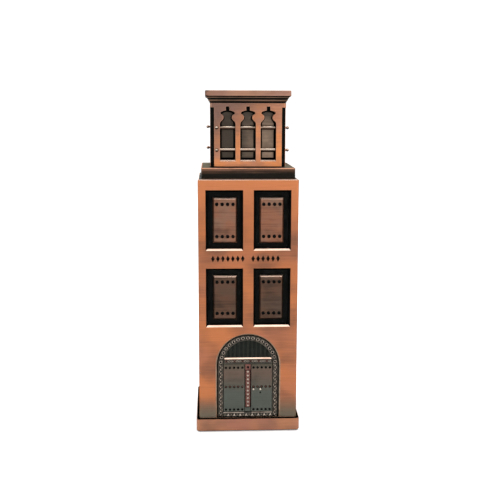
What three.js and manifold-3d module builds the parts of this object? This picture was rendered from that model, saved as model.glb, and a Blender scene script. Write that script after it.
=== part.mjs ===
// A miniature tower house in cast metal: a plinth, a square hollow tower with a studded double
// door and shuttered windows, a shoulder block, and a lantern head that lifts off a square spigot.
// Millimetres, +Z up. The front faces -Y, and the origin is the centre of the base on the table.
import * as THREE from "three";
import { mergeVertices } from "three/addons/utils/BufferGeometryUtils.js";
import Module from "manifold-3d";

const wasm = await Module();
wasm.setup();

// ---------------------------------------------------------------------------------------------
// Driving sizes
// ---------------------------------------------------------------------------------------------

// Fits
const seat = 0.1; // between two pieces that are fixed face to face
const slip = 0.2; // each side, between the spigot and the head that lifts off it
const bore = 0.15; // each side, between a rod or screw and its hole

// Tower
const towerWidth = 44;
const towerHeight = 108.1;
const wall = 2.2;
const towerCorner = 0.9; // radius of the upright corners
const deckChamfer = 0.55;

// Plinth, its screws and the felt under it
const plinthHeight = 6.2;
const plinthProud = 1.3; // past the tower, each side
const plinthCorner = 1.6;
const plinthRound = 0.7; // radius of the level edges
const locatorHeight = 1.2; // of the boss that stands inside the tower
const padThickness = 1.2;
const padProud = 0.3; // the rim stands this far off the table
const padRim = 2.4; // width of the metal rim round the felt
const padCorner = 0.8;
const cornerBlock = 4.8; // side of the block for a screw, in each corner of the tower
const cornerBlockHeight = 10;

// Windows: two rows of two on each face
const topRail = 4.5; // from the deck to the upper row
const midRail = 7.75; // between the rows, where the engraved band runs
const archRail = 3; // from the door's arch to the lower row
const outerPier = 3.2;
const middlePier = 4.4;
const windowBevel = 0.9;
const backThickness = 1;

// Shutters
const shutterSide = 2.95; // from the window's rim to the shutter
const shutterEnd = 3.35;
const shutterShift = 0.25; // of each shutter from its window's middle, towards the middle pier
const shutterBevel = 0.75;
const shutterSunk = 0.75; // from the tower's face to the shutter's
const dotRadius = 0.75;
const dotDepth = 0.8;
const dotSide = 1.8; // from the shutter's side to the first dot
const dotEnd = 2.95; // from the shutter's end to the row
const dotPitch = 2.2; // the least, from dot to dot

// Engraved band: lozenges in two groups
const bandLozenges = [7, 6];
const lozengePitch = 2.19;
const lozengeHalfHeight = 1.35;
const lozengeHalfWidth = 0.72;
const lozengeDepth = 0.45;
const bandGap = 3.1; // between the two groups
const bandShift = -1.25; // of the band's middle, to the left of the tower's
const bandRise = 0.4; // of the band above the middle of its rail

// Door
const doorPier = 7.45; // from the tower's side to the arch
const jambHeight = 24.75; // from the plinth to the spring of the arch
const doorBevel = 1;
const frameWidth = 2.3;
const frameThickness = 1.2;
const leafThickness = 0.9;
const leafTop = 24.9; // above the plinth
const lintelHeight = 2.85;
const lintelThickness = 1.5;
const lintelBevel = 0.6;
const thresholdHeight = 2.25;
const thresholdThickness = 1.3;
const astragalWidth = 2.7;
const astragalThickness = 1.55;
const astragalBevel = 0.4;
const astragalFoot = 3.5; // above the plinth
const tympanumThickness = 0.7;
const doorLap = 1.2; // of the back plate past the door's opening
const studRadius = 0.5;
const studDepth = 0.45;
const studSide = 1.1; // from the leaf's edge to the first stud
const studPitch = 1.6; // the least, from stud to stud
const studDrops = [1.7, 10.7, 21.45]; // of the rows, below the leaf's top
const knobRadius = 0.55;
const knobOuts = [1.05, 4.15]; // of the knobs, from the leaf's meeting edge
const knobDrop = 11.6; // below the leaf's top
const keyholeDrop = 13.5;
const keyholeRadius = 0.35;

// Shoulder and spigot
const shoulderHeight = 4.9;
const shoulderInset = 1.5;
const shoulderChamfer = 0.4;
const spigotHeight = 10;
const spigotChamfer = 0.8;

// Lantern head
const headSeat = 0.3; // the seam at the foot of the head
const lanternInset = 4; // from the shoulder's side to the lantern's
const lanternHeight = 27.5;
const latticeThickness = 4.2;
const cornerNotch = 1.75;
const friezeHeight = 1.95;
const stileWidth = 2.5;
const mullionWidth = 2.1;
const openingsPerFace = 3;
const sillHeight = 2.9;
const sillBevel = 0.6;
const archHeadHeight = 7.4; // of an opening, from its straight sides to the tip of its slot
const archHeadDrop = 1.5; // from the lantern's top to the slot's tip
const coreTop = 2.2;
const socketWall = 2.95;

// Rods through the lattices, two to a face
const rodRadius = 0.9;
const rodDepth = 2.85; // from the lattice's face to the rod's axis
const lowerRodRise = 4.3; // above the sill
const upperRodDrop = 1.7; // below the top of the straight sides
const rodNeckRadius = 0.45;
const rodNeckLength = 0.45;
const rodBallRadius = 0.72;
const rodWeb = 0.1; // metal between a rod's blind end and its neighbour's bore

// Cornice and roof
const corniceHeight = 5.2;
const corniceCorner = 0.9;
const corniceOut = 2.15;
const corniceBand = 2.3;
const roofRim = 2.6;
const roofSunk = 0.5;
const roofThickness = 0.8;

// Screws
const screwRadius = 1.25;
const screwHeadRadius = 2.2;
const screwHeadHeight = 1.6;
const screwHeadChamfer = 0.4;
const screwTipChamfer = 0.6;
const screwSlotWidth = 0.6;
const screwSlotDepth = 0.6;
const screwGrip = 6; // length of thread past the joint
const roofScrewGrip = 2.4;

// ---------------------------------------------------------------------------------------------
// Sizes worked out from them
// ---------------------------------------------------------------------------------------------

const towerHalf = towerWidth / 2;
const innerHalf = towerHalf - wall;
const deckZ = plinthHeight + towerHeight;
const plinthHalf = towerHalf + plinthProud;
const frontY = -towerHalf;
const liningY = -innerHalf; // the inner face of the front wall

const screwAt = innerHalf - cornerBlock / 2 - seat;
const counterboreZ = padThickness + seat + screwHeadHeight + 2 * seat;

const doorHalf = towerHalf - doorPier;
const springZ = plinthHeight + jambHeight;
const archTopZ = springZ + doorHalf;
const doorwayHalf = doorHalf - doorBevel;
const frameHalf = doorwayHalf - seat;
const fieldHalf = frameHalf - frameWidth - seat;
const leafTopZ = plinthHeight + leafTop;
const leafFootZ = plinthHeight + seat + thresholdHeight + seat;
const lintelFootZ = leafTopZ + seat;
const leafInner = astragalWidth / 2 + seat;

const windowWidth = (towerWidth - 2 * outerPier - middlePier) / 2;
const windowHeight = (deckZ - topRail - midRail - archRail - archTopZ) / 2;
const windowX = (middlePier + windowWidth) / 2;
const lowerWindowZ = archTopZ + archRail + windowHeight / 2;
const upperWindowZ = lowerWindowZ + windowHeight + midRail;
const bandZ = (lowerWindowZ + upperWindowZ) / 2 + bandRise;
const shutterWidth = windowWidth - 2 * shutterSide;
const shutterHeight = windowHeight - 2 * shutterEnd;
const backHalf = innerHalf - backThickness - 3 * seat;

const shoulderHalf = towerHalf - shoulderInset;
const shoulderZ = deckZ + shoulderHeight;

const footZ = shoulderZ + headSeat;
const lanternHalf = shoulderHalf - lanternInset;
const lanternTopZ = footZ + lanternHeight;
const latticeInner = lanternHalf - latticeThickness;
const coreHalf = latticeInner - seat;
const socketHalf = coreHalf - socketWall;
const spigotHalf = socketHalf - slip;
const panelHalf = lanternHalf - cornerNotch;
const gaps = openingsPerFace - 1;
const openingWidth = (2 * (panelHalf - stileWidth) - gaps * mullionWidth) / openingsPerFace;
const openingPitch = openingWidth + mullionWidth;
const sillZ = footZ + sillHeight;
const straightTopZ = lanternTopZ - archHeadDrop - archHeadHeight;
const rodHeights = [sillZ + lowerRodRise, straightTopZ - upperRodDrop];
const rodAxis = lanternHalf - rodDepth; // distance of each rod's axis from the centre line
const corniceZ = lanternTopZ + seat;
const roofZ = corniceZ + corniceHeight;

// ---------------------------------------------------------------------------------------------
// Finishes
// ---------------------------------------------------------------------------------------------

const metal = (color, roughness) =>
  new THREE.MeshStandardMaterial({ color, roughness, metalness: 1 });
const finishes = {
  copper: metal(0xb9734c, 0.42),
  shutter: metal(0x8a6552, 0.45),
  gunmetal: metal(0x5b5c55, 0.4),
  black: metal(0x17181a, 0.35),
  core: metal(0x4d4a45, 0.45),
  rod: metal(0xc59b84, 0.25),
  steel: metal(0x9a9c9e, 0.35),
  felt: new THREE.MeshStandardMaterial({ color: 0x23302a, roughness: 0.95, metalness: 0 }),
};

// ---------------------------------------------------------------------------------------------
// Shapes and booleans
// ---------------------------------------------------------------------------------------------

// A closed geometry as a solid: shared corners merged, collapsed triangles dropped.
function solidOf(geometry) {
  const bare = new THREE.BufferGeometry();
  const loose = geometry.index ? geometry.toNonIndexed() : geometry;
  bare.setAttribute("position", loose.getAttribute("position"));
  const merged = mergeVertices(bare, 1e-4);
  const corners = [];
  for (let i = 0; i < merged.index.count; i += 3) {
    const [a, b, c] = [0, 1, 2].map((k) => merged.index.getX(i + k));
    if (a !== b && b !== c && c !== a) corners.push(a, b, c);
  }
  return new wasm.Manifold(
    new wasm.Mesh({
      numProp: 3,
      vertProperties: merged.attributes.position.array,
      triVerts: new Uint32Array(corners),
    }),
  );
}

function geometryOf(solid) {
  const { vertProperties, triVerts, numProp } = solid.getMesh();
  const geometry = new THREE.BufferGeometry();
  geometry.setAttribute("position", new THREE.BufferAttribute(vertProperties, numProp));
  geometry.setIndex(new THREE.BufferAttribute(triVerts, 1));
  return geometry;
}

const join = (first, ...others) =>
  geometryOf(others.reduce((sum, g) => sum.add(solidOf(g)), solidOf(first)));
const cut = (base, ...tools) =>
  geometryOf(tools.reduce((rest, g) => rest.subtract(solidOf(g)), solidOf(base)));
const common = (a, b) => geometryOf(solidOf(a).intersect(solidOf(b)));

function box([x0, x1], [y0, y1], [z0, z1]) {
  const geometry = new THREE.BoxGeometry(x1 - x0, y1 - y0, z1 - z0);
  return geometry.translate((x0 + x1) / 2, (y0 + y1) / 2, (z0 + z1) / 2);
}

// A profile of [radius, z] pairs turned about the Z axis. It starts and ends on the axis.
function turned(profile, sides) {
  const points = profile.map(([radius, z]) => new THREE.Vector2(radius, z));
  return new THREE.LatheGeometry(points, sides).rotateX(Math.PI / 2);
}

// A profile of [half width, z] pairs carried round a square, with mitred corners.
function squared(profile) {
  const diagonal = profile.map(([half, z]) => [half * Math.SQRT2, z]);
  return turned(diagonal, 4).rotateZ(Math.PI / 4);
}

function roundedSquare(half, radius) {
  const inner = half - radius;
  const shape = new THREE.Shape();
  [0, 1, 2, 3].forEach((quarter) => {
    const start = (quarter * Math.PI) / 2;
    const x = quarter === 0 || quarter === 3 ? inner : -inner;
    const y = quarter < 2 ? inner : -inner;
    shape.absarc(x, y, radius, start, start + Math.PI / 2);
  });
  return shape;
}

// A square block with the given profile, its upright corners rounded.
function block(profile, corner) {
  const half = Math.max(...profile.map(([h]) => h));
  const heights = profile.map(([, z]) => z);
  const [low, high] = [Math.min(...heights) - 1, Math.max(...heights) + 1];
  const options = { depth: high - low, bevelEnabled: false, curveSegments: 4 };
  const post = new THREE.ExtrudeGeometry(roundedSquare(half, corner), options);
  return common(squared(profile), post.translate(0, 0, low));
}

// An outline drawn in X and Z, made a plate from the plane y = front to the plane y = back.
function plate(shape, front, back, curveSegments = 6) {
  const options = { depth: back - front, bevelEnabled: false, curveSegments };
  return new THREE.ExtrudeGeometry(shape, options).rotateX(Math.PI / 2).translate(0, back, 0);
}

function rectangle(x, z, width, height) {
  const [w, h] = [width / 2, height / 2];
  const corners = [[-w, -h], [w, -h], [w, h], [-w, h]];
  return new THREE.Shape(corners.map(([a, b]) => new THREE.Vector2(x + a, z + b)));
}

// A plate whose front edges are bevelled at 45 degrees. The outline is that of its front face.
function bevelledPlate(shape, front, back, bevel, curveSegments = 6) {
  const options = {
    depth: back - front, bevelThickness: bevel, bevelSize: bevel, bevelSegments: 1, curveSegments,
  };
  const whole = new THREE.ExtrudeGeometry(shape, options).rotateX(Math.PI / 2);
  whole.translate(0, back + bevel, 0);
  const far = 4 * towerWidth + towerHeight;
  return common(whole, box([-far, far], [front - 1, back], [-far, far]));
}

// A cutter for an opening through the front wall, its rim bevelled at 45 degrees. The outline is
// that of the opening behind the bevel.
function bevelledOpening(shape, bevel, curveSegments = 6) {
  const options = {
    depth: 1, bevelThickness: bevel, bevelSize: bevel, bevelSegments: 1, curveSegments,
  };
  const rim = new THREE.ExtrudeGeometry(shape, options).rotateX(Math.PI / 2);
  rim.translate(0, frontY, 0); // widest at the face, and narrowing behind it
  return join(rim, plate(shape, frontY - 0.5, liningY + 1, curveSegments));
}

// A drill along +Z whose foot is at z = 0.
function drill(radius, depth, sides = 10) {
  return turned([[0, 0], [radius, 0], [radius, depth], [0, depth]], sides);
}

// A drill into the front, from well outside to the plane y = bottom.
function frontDrill(x, z, radius, face, depth, sides = 8) {
  const tool = drill(radius, depth + 1, sides).rotateX(Math.PI / 2);
  return tool.translate(x, face + depth, z);
}

function screwHole(depth, foot) {
  return drill(screwRadius + bore, depth).translate(0, 0, foot);
}

// As many even steps as fit in this span, each at least one pitch, as places about its middle.
function evenSteps(span, pitch) {
  const steps = Math.max(1, Math.floor(span / pitch));
  return Array.from({ length: steps + 1 }, (_, i) => (i / steps - 0.5) * span);
}

// A slotted screw that points up, with the underside of its head at z = 0.
function screw(length) {
  const shape = turned(
    [[0, -screwHeadHeight], [screwHeadRadius - screwHeadChamfer, -screwHeadHeight],
      [screwHeadRadius, screwHeadChamfer - screwHeadHeight], [screwHeadRadius, 0],
      [screwRadius, 0], [screwRadius, length - screwTipChamfer],
      [screwRadius - screwTipChamfer, length], [0, length]],
    10,
  );
  const [reach, side] = [screwHeadRadius + 1, screwSlotWidth / 2];
  const floor = screwSlotDepth - screwHeadHeight;
  return cut(shape, box([-reach, reach], [-side, side], [-screwHeadHeight - 1, floor]));
}

// ---------------------------------------------------------------------------------------------
// Plinth
// ---------------------------------------------------------------------------------------------

function plinth() {
  const arc = [0, 1, 2, 3].map((step) => (step * Math.PI) / 6);
  const low = arc.map((a) => [
    plinthHalf - plinthRound * (1 - Math.sin(a)), padProud + plinthRound * (1 - Math.cos(a)),
  ]);
  const high = arc.map((a) => [
    plinthHalf - plinthRound * (1 - Math.cos(a)), plinthHeight - plinthRound * (1 - Math.sin(a)),
  ]);
  const slab = block([[0, padProud], ...low, ...high, [0, plinthHeight]], plinthCorner);
  const locatorHalf = innerHalf - cornerBlock - seat;
  const locatorTop = plinthHeight + locatorHeight;
  const locator = squared([[0, 1], [locatorHalf, 1], [locatorHalf, locatorTop], [0, locatorTop]]);
  const recessHalf = plinthHalf - padRim;
  const recessTop = padThickness + seat;
  const tools = [squared([[0, -1], [recessHalf, -1], [recessHalf, recessTop], [0, recessTop]])];
  forEachCorner((x, y) => {
    tools.push(drill(screwHeadRadius + bore, counterboreZ, 12).translate(x, y, 0));
    tools.push(drill(screwRadius + bore, plinthHeight + 1).translate(x, y, 0));
  });
  return cut(join(slab, locator), ...tools);
}

function basePad() {
  const half = plinthHalf - padRim - seat;
  return block([[0, 0], [half, 0], [half, padThickness], [0, padThickness]], padCorner);
}

function forEachCorner(make) {
  [[-1, -1], [1, -1], [1, 1], [-1, 1]].forEach(([x, y], i) => make(x * screwAt, y * screwAt, i));
}

// ---------------------------------------------------------------------------------------------
// Tower shell
// ---------------------------------------------------------------------------------------------

// The outline of an arched doorway of this half width, standing at z = foot.
function archedShape(half, foot) {
  const shape = new THREE.Shape();
  shape.moveTo(half, foot);
  shape.lineTo(half, springZ);
  shape.absarc(0, springZ, half, 0, Math.PI);
  shape.lineTo(-half, foot);
  shape.closePath();
  return shape;
}

function forEachWindow(make) {
  [["lower", lowerWindowZ], ["upper", upperWindowZ]].forEach(([row, z]) => {
    [["left", -windowX], ["right", windowX]].forEach(([column, x]) => make(row, column, x, z));
  });
}

function lozengeCutters() {
  const spans = bandLozenges.map((count) => (count - 1) * lozengePitch + 2 * lozengeHalfWidth);
  let x = bandShift - (spans[0] + spans[1] + bandGap) / 2 + lozengeHalfWidth;
  const cutters = [];
  bandLozenges.forEach((count) => {
    for (let i = 0; i < count; i += 1) {
      const tips = [[-1, 0], [0, -1], [1, 0], [0, 1]];
      const points = tips.map(
        ([a, b]) => new THREE.Vector2(x + a * lozengeHalfWidth, bandZ + b * lozengeHalfHeight),
      );
      cutters.push(plate(new THREE.Shape(points), frontY - 1, frontY + lozengeDepth));
      x += lozengePitch;
    }
    x += bandGap + 2 * lozengeHalfWidth - lozengePitch;
  });
  return cutters;
}

function towerShell() {
  const rim = towerHalf - deckChamfer;
  const outside = block(
    [[0, plinthHeight + seat], [towerHalf, plinthHeight + seat],
      [towerHalf, deckZ - deckChamfer], [rim, deckZ], [0, deckZ]],
    towerCorner,
  );
  const ceiling = deckZ - wall;
  let shell = cut(outside, squared([[0, 0], [innerHalf, 0], [innerHalf, ceiling], [0, ceiling]]));
  const [blockStart, blockEnd] = [innerHalf - cornerBlock, innerHalf + wall / 2];
  const blocks = [];
  const tools = [];
  forEachCorner((x, y) => {
    const [signX, signY] = [Math.sign(x), Math.sign(y)];
    const spanX = [signX * blockStart, signX * blockEnd].sort((a, b) => a - b);
    const spanY = [signY * blockStart, signY * blockEnd].sort((a, b) => a - b);
    const foot = plinthHeight + seat;
    blocks.push(box(spanX, spanY, [foot, foot + cornerBlockHeight]));
    tools.push(drill(screwRadius + bore, foot + cornerBlockHeight - 1).translate(x, y, 0));
  });
  shell = join(shell, ...blocks);
  forEachWindow((row, column, x, z) => {
    const clear = rectangle(x, z, windowWidth - 2 * windowBevel, windowHeight - 2 * windowBevel);
    for (let side = 0; side < 4; side += 1) {
      tools.push(bevelledOpening(clear, windowBevel).rotateZ((side * Math.PI) / 2));
    }
  });
  tools.push(bevelledOpening(archedShape(doorwayHalf, 0), doorBevel, 16));
  tools.push(screwHole(wall + 2, ceiling - 1));
  return cut(shell, ...tools, ...lozengeCutters());
}

// ---------------------------------------------------------------------------------------------
// Windows
// ---------------------------------------------------------------------------------------------

// One plate behind the four windows of a face, held just clear of the wall.
function windowBack() {
  const foot = lowerWindowZ - windowHeight / 2;
  const head = upperWindowZ + windowHeight / 2;
  const front = liningY + seat;
  return box([-backHalf, backHalf], [front, front + backThickness], [foot, head]);
}

function shutter(windowMiddle, z) {
  const x = windowMiddle - Math.sign(windowMiddle) * shutterShift;
  const [w, h] = [shutterWidth - 2 * shutterBevel, shutterHeight - 2 * shutterBevel];
  const face = frontY + shutterSunk;
  const panel = bevelledPlate(rectangle(x, z, w, h), face, liningY, shutterBevel);
  const dots = [];
  [-1, 1].forEach((end) => {
    evenSteps(shutterWidth - 2 * dotSide, dotPitch).forEach((out) => {
      const dotZ = z + end * (shutterHeight / 2 - dotEnd);
      dots.push(frontDrill(x + out, dotZ, dotRadius, face, dotDepth));
    });
  });
  return cut(panel, ...dots);
}

// ---------------------------------------------------------------------------------------------
// Door
// ---------------------------------------------------------------------------------------------

function doorBack() {
  const front = liningY + seat;
  const half = Math.min(doorwayHalf + doorLap, innerHalf - cornerBlock - seat);
  const foot = plinthHeight + 2 * seat;
  const head = springZ + doorwayHalf + doorLap;
  return box([-half, half], [front, front + backThickness], [foot, head]);
}

function doorFrame() {
  const foot = plinthHeight + seat;
  const inner = frameHalf - frameWidth;
  const shape = new THREE.Shape();
  shape.moveTo(frameHalf, foot);
  shape.lineTo(frameHalf, springZ);
  shape.absarc(0, springZ, frameHalf, 0, Math.PI);
  shape.lineTo(-frameHalf, foot);
  shape.lineTo(-inner, foot);
  shape.lineTo(-inner, springZ);
  shape.absarc(0, springZ, inner, Math.PI, 0, true);
  shape.lineTo(inner, foot);
  shape.closePath();
  return plate(shape, liningY - frameThickness, liningY, 16);
}

function tympanum() {
  const foot = lintelFootZ + lintelHeight + seat;
  const rise = foot - springZ;
  const start = Math.asin(rise / fieldHalf);
  const shape = new THREE.Shape();
  shape.moveTo(-fieldHalf * Math.cos(start), foot);
  shape.lineTo(fieldHalf * Math.cos(start), foot);
  shape.absarc(0, springZ, fieldHalf, start, Math.PI - start);
  return plate(shape, liningY - tympanumThickness, liningY, 16);
}

// The lintel's ends follow the arch where they rise past its spring.
function lintel() {
  const middle = lintelFootZ + lintelHeight / 2;
  const face = liningY - lintelThickness;
  const shape = rectangle(0, middle, 2 * (fieldHalf - lintelBevel), lintelHeight - 2 * lintelBevel);
  const bar = bevelledPlate(shape, face, liningY, lintelBevel);
  return common(bar, plate(archedShape(fieldHalf, 0), face - 1, liningY + 1, 16));
}

function threshold() {
  const middle = plinthHeight + seat + thresholdHeight / 2;
  return plate(rectangle(0, middle, 2 * fieldHalf, thresholdHeight),
    liningY - thresholdThickness, liningY);
}

function doorLeaf(sign) {
  const width = fieldHalf - leafInner;
  const x = sign * (leafInner + width / 2);
  const face = liningY - leafThickness;
  const middle = (leafTopZ + leafFootZ) / 2;
  const leaf = plate(rectangle(x, middle, width, leafTopZ - leafFootZ), face, liningY);
  const holes = [];
  studDrops.forEach((drop) => {
    evenSteps(width - 2 * studSide, studPitch).forEach((out) => {
      holes.push(frontDrill(x + out, leafTopZ - drop, studRadius, face, studDepth));
    });
  });
  if (sign > 0) {
    const keyholeX = leafInner + knobOuts[1];
    holes.push(frontDrill(keyholeX, leafTopZ - keyholeDrop, keyholeRadius, face, studDepth));
  }
  return cut(leaf, ...holes);
}

// The bead that covers the meeting edges, with a foot block and a stud hole at its head.
function astragal() {
  const face = liningY - astragalThickness;
  const half = astragalWidth / 2;
  const foot = plinthHeight + astragalFoot;
  const middle = (foot + leafTopZ) / 2;
  const [width, height] = [astragalWidth - 2 * astragalBevel, leafTopZ - foot - 2 * astragalBevel];
  const bead = bevelledPlate(rectangle(0, middle, width, height), face, liningY, astragalBevel);
  const toe = box([-half, half], [liningY - leafThickness, liningY], [leafFootZ, foot + 1]);
  return cut(join(bead, toe), frontDrill(0, leafTopZ - half, studRadius, face, studDepth));
}

function doorKnob(out) {
  const neck = knobRadius * 0.55;
  const ball = [-60, -30, 0, 30, 60].map((degrees) => {
    const angle = (degrees * Math.PI) / 180;
    return [knobRadius * Math.cos(angle), knobRadius * (1.5 + Math.sin(angle))];
  });
  const knob = turned([[0, 0], [neck, 0], ...ball, [0, 2.5 * knobRadius]], 10);
  knob.rotateX(Math.PI / 2);
  return knob.translate(leafInner + out, liningY - leafThickness - seat, leafTopZ - knobDrop);
}

// ---------------------------------------------------------------------------------------------
// Shoulder and spigot
// ---------------------------------------------------------------------------------------------

function shoulder() {
  const foot = deckZ + seat;
  const top = shoulderZ - shoulderChamfer;
  const rim = shoulderHalf - shoulderChamfer;
  const slab = block(
    [[0, foot], [shoulderHalf, foot], [shoulderHalf, top], [rim, shoulderZ], [0, shoulderZ]],
    towerCorner,
  );
  return cut(slab, screwHole(shoulderHeight + 2, deckZ - 1));
}

function spigot() {
  const foot = shoulderZ + seat;
  const top = foot + spigotHeight;
  const rim = spigotHalf - spigotChamfer;
  const post = block(
    [[0, foot], [spigotHalf, foot], [spigotHalf, top - spigotChamfer], [rim, top], [0, top]],
    towerCorner,
  );
  return cut(post, screwHole(screwGrip + 2, foot - 1));
}

// ---------------------------------------------------------------------------------------------
// Lantern head
// ---------------------------------------------------------------------------------------------

// An inverted square cup: its mouth is the socket that drops over the spigot.
function lanternCore() {
  const top = lanternTopZ - seat;
  const ceiling = top - coreTop;
  const outside = squared([[0, footZ], [coreHalf, footZ], [coreHalf, top], [0, top]]);
  const start = footZ - 1;
  const socket = squared([[0, start], [socketHalf, start], [socketHalf, ceiling], [0, ceiling]]);
  return cut(outside, socket, screwHole(coreTop + 2, ceiling - 1));
}

// The outline of one lattice opening: straight sides, an ogee waist, two round lobes and a slot.
function latticeOpening(x) {
  const half = openingWidth / 2;
  const shape = new THREE.Shape();
  // A corner or control point from its shares of the half width and of the head's height.
  const at = (side, [out, up]) => [x + side * out * half, straightTopZ + up * archHeadHeight];
  const [spring, waist, lobeFoot, lobe, lobeTop, slotFoot] = [
    [1, 0], [0.53, 0.36], [0.74, 0.53], [0.92, 0.61], [0.72, 0.71], [0.23, 0.77],
  ];
  shape.moveTo(x - half, sillZ);
  shape.lineTo(x + half, sillZ);
  shape.lineTo(...at(1, spring));
  shape.bezierCurveTo(...at(1, [0.97, 0.16]), ...at(1, [waist[0], 0.18]), ...at(1, waist));
  shape.quadraticCurveTo(...at(1, [waist[0], 0.47]), ...at(1, lobeFoot));
  shape.quadraticCurveTo(...at(1, [lobe[0], 0.56]), ...at(1, lobe));
  shape.quadraticCurveTo(...at(1, [lobe[0], 0.68]), ...at(1, lobeTop));
  shape.quadraticCurveTo(...at(1, [0.5, 0.755]), ...at(1, slotFoot));
  shape.lineTo(...at(1, [slotFoot[0], 1]));
  shape.lineTo(...at(-1, [slotFoot[0], 1]));
  shape.lineTo(...at(-1, slotFoot));
  shape.quadraticCurveTo(...at(-1, [0.5, 0.755]), ...at(-1, lobeTop));
  shape.quadraticCurveTo(...at(-1, [lobe[0], 0.68]), ...at(-1, lobe));
  shape.quadraticCurveTo(...at(-1, [lobe[0], 0.56]), ...at(-1, lobeFoot));
  shape.quadraticCurveTo(...at(-1, [waist[0], 0.47]), ...at(-1, waist));
  shape.bezierCurveTo(...at(-1, [waist[0], 0.18]), ...at(-1, [0.97, 0.16]), ...at(-1, spring));
  shape.closePath();
  return shape;
}

// A rod along +X in front of the lattice's back, from beside its neighbour to its ball end.
function rodSpan() {
  const start = rodRadius + bore + rodWeb + seat - rodAxis;
  const end = lanternHalf;
  return [start, end];
}

function rodBore(z) {
  const [start, end] = rodSpan();
  const tool = drill(rodRadius + bore, end - start + 2).rotateY(Math.PI / 2);
  return tool.translate(start - seat, -rodAxis, z);
}

// The front lattice. The others are the same plate turned about the tower's axis.
function lattice() {
  const shape = new THREE.Shape();
  const frieze = lanternTopZ - friezeHeight;
  const outline = [
    [-panelHalf, footZ], [panelHalf, footZ], [panelHalf, frieze], [lanternHalf, frieze],
    [lanternHalf, lanternTopZ], [-lanternHalf, lanternTopZ], [-lanternHalf, frieze],
    [-panelHalf, frieze],
  ];
  shape.setFromPoints(outline.map(([x, z]) => new THREE.Vector2(x, z)));
  const tools = [];
  const reach = sillBevel * Math.SQRT1_2;
  for (let i = 0; i < openingsPerFace; i += 1) {
    const x = (i - gaps / 2) * openingPitch;
    tools.push(plate(latticeOpening(x), -lanternHalf - 1, 1 - latticeInner, 3));
    const end = openingWidth / 2 - bore;
    const bar = box([x - end, x + end], [-reach, reach], [-reach, reach]).rotateX(Math.PI / 4);
    tools.push(bar.translate(0, -lanternHalf, sillZ));
  }
  rodHeights.forEach((z) => {
    for (let side = 0; side < 4; side += 1) {
      tools.push(rodBore(z).rotateZ((side * Math.PI) / 2));
    }
  });
  const panel = plate(shape, -lanternHalf, -latticeInner, 4);
  const mitre = new THREE.Shape([
    new THREE.Vector2(-latticeInner + seat, -latticeInner),
    new THREE.Vector2(-lanternHalf - 1 + seat, -lanternHalf - 1),
    new THREE.Vector2(lanternHalf + 1 - seat, -lanternHalf - 1),
    new THREE.Vector2(latticeInner - seat, -latticeInner),
  ]);
  const wedge = new THREE.ExtrudeGeometry(mitre, { depth: lanternHeight + 2, bevelEnabled: false });
  return cut(common(panel, wedge.translate(0, 0, footZ - 1)), ...tools);
}

function rod(z) {
  const [start, end] = rodSpan();
  const length = end - start;
  const neck = length + rodNeckLength;
  const ball = [-50, -20, 10, 40, 70].map((degrees) => {
    const angle = (degrees * Math.PI) / 180;
    return [rodBallRadius * Math.cos(angle), neck + rodBallRadius * (0.75 + Math.sin(angle))];
  });
  const tip = neck + 1.75 * rodBallRadius;
  const profile = [[0, 0], [rodRadius, 0], [rodRadius, length], [rodNeckRadius, length],
    [rodNeckRadius, neck], ...ball, [0, tip]];
  return turned(profile, 10).rotateY(Math.PI / 2).translate(start, -rodAxis, z);
}

// The mouldings of the cornice as [past the lantern's side, above its top].
function cornice() {
  const bandFoot = corniceHeight - corniceBand;
  const mouldings = [
    [0, 0], [0.15, 0.25], [0.15, 0.6], [0.6, 0.85], [0.6, 1.2], [0.75, 1.3], [0.95, 1.9],
    [1.3, 2.15], [1.3, 2.35], [1.5, bandFoot - 0.45], [corniceOut, bandFoot],
    [corniceOut, corniceHeight - 0.3], [corniceOut - 0.3, corniceHeight],
  ];
  const profile = mouldings.map(([out, up]) => [lanternHalf + out, corniceZ + up]);
  const slab = block([[0, corniceZ], ...profile, [0, roofZ]], corniceCorner);
  const recessHalf = lanternHalf + corniceOut - roofRim;
  const floor = roofZ - roofSunk - roofThickness - seat;
  const recess = squared([[0, floor], [recessHalf, floor], [recessHalf, roofZ + 1], [0, roofZ + 1]]);
  return cut(slab, recess, screwHole(roofScrewGrip + 1.2, corniceZ - 1));
}

function roofPlate() {
  const half = lanternHalf + corniceOut - roofRim - seat;
  const top = roofZ - roofSunk;
  const foot = top - roofThickness;
  return squared([[0, foot], [half, foot], [half, top], [0, top]]);
}

// ---------------------------------------------------------------------------------------------
// Assembly
// ---------------------------------------------------------------------------------------------

const model = new THREE.Group();
const tower = new THREE.Group();
const head = new THREE.Group();
model.add(tower, head);

function add(group, name, geometry, finish) {
  const mesh = new THREE.Mesh(geometry, finish);
  mesh.name = name;
  group.add(mesh);
  return mesh;
}

add(tower, "base_pad", basePad(), finishes.felt);
add(tower, "plinth", plinth(), finishes.copper);
const plinthScrewLength = plinthHeight - counterboreZ + screwGrip;
forEachCorner((x, y, i) => {
  const part = add(tower, `plinth_screw_${i + 1}`, screw(plinthScrewLength), finishes.steel);
  part.position.set(x, y, counterboreZ - seat);
});
add(tower, "tower_shell", towerShell(), finishes.copper);

const sides = ["front", "right", "back", "left"];
sides.forEach((side, quarter) => {
  const towerFace = new THREE.Group();
  const headFace = new THREE.Group();
  towerFace.rotation.z = (quarter * Math.PI) / 2;
  headFace.rotation.z = towerFace.rotation.z;
  tower.add(towerFace);
  head.add(headFace);
  add(towerFace, `window_back_${side}`, windowBack(), finishes.black);
  forEachWindow((row, column, x, z) => {
    add(towerFace, `shutter_${side}_${row}_${column}`, shutter(x, z), finishes.shutter);
  });
  add(headFace, `lattice_${side}`, lattice(), finishes.copper);
  rodHeights.forEach((z, i) => {
    add(headFace, `rod_${side}_${i ? "upper" : "lower"}`, rod(z), finishes.rod);
  });
});

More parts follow.
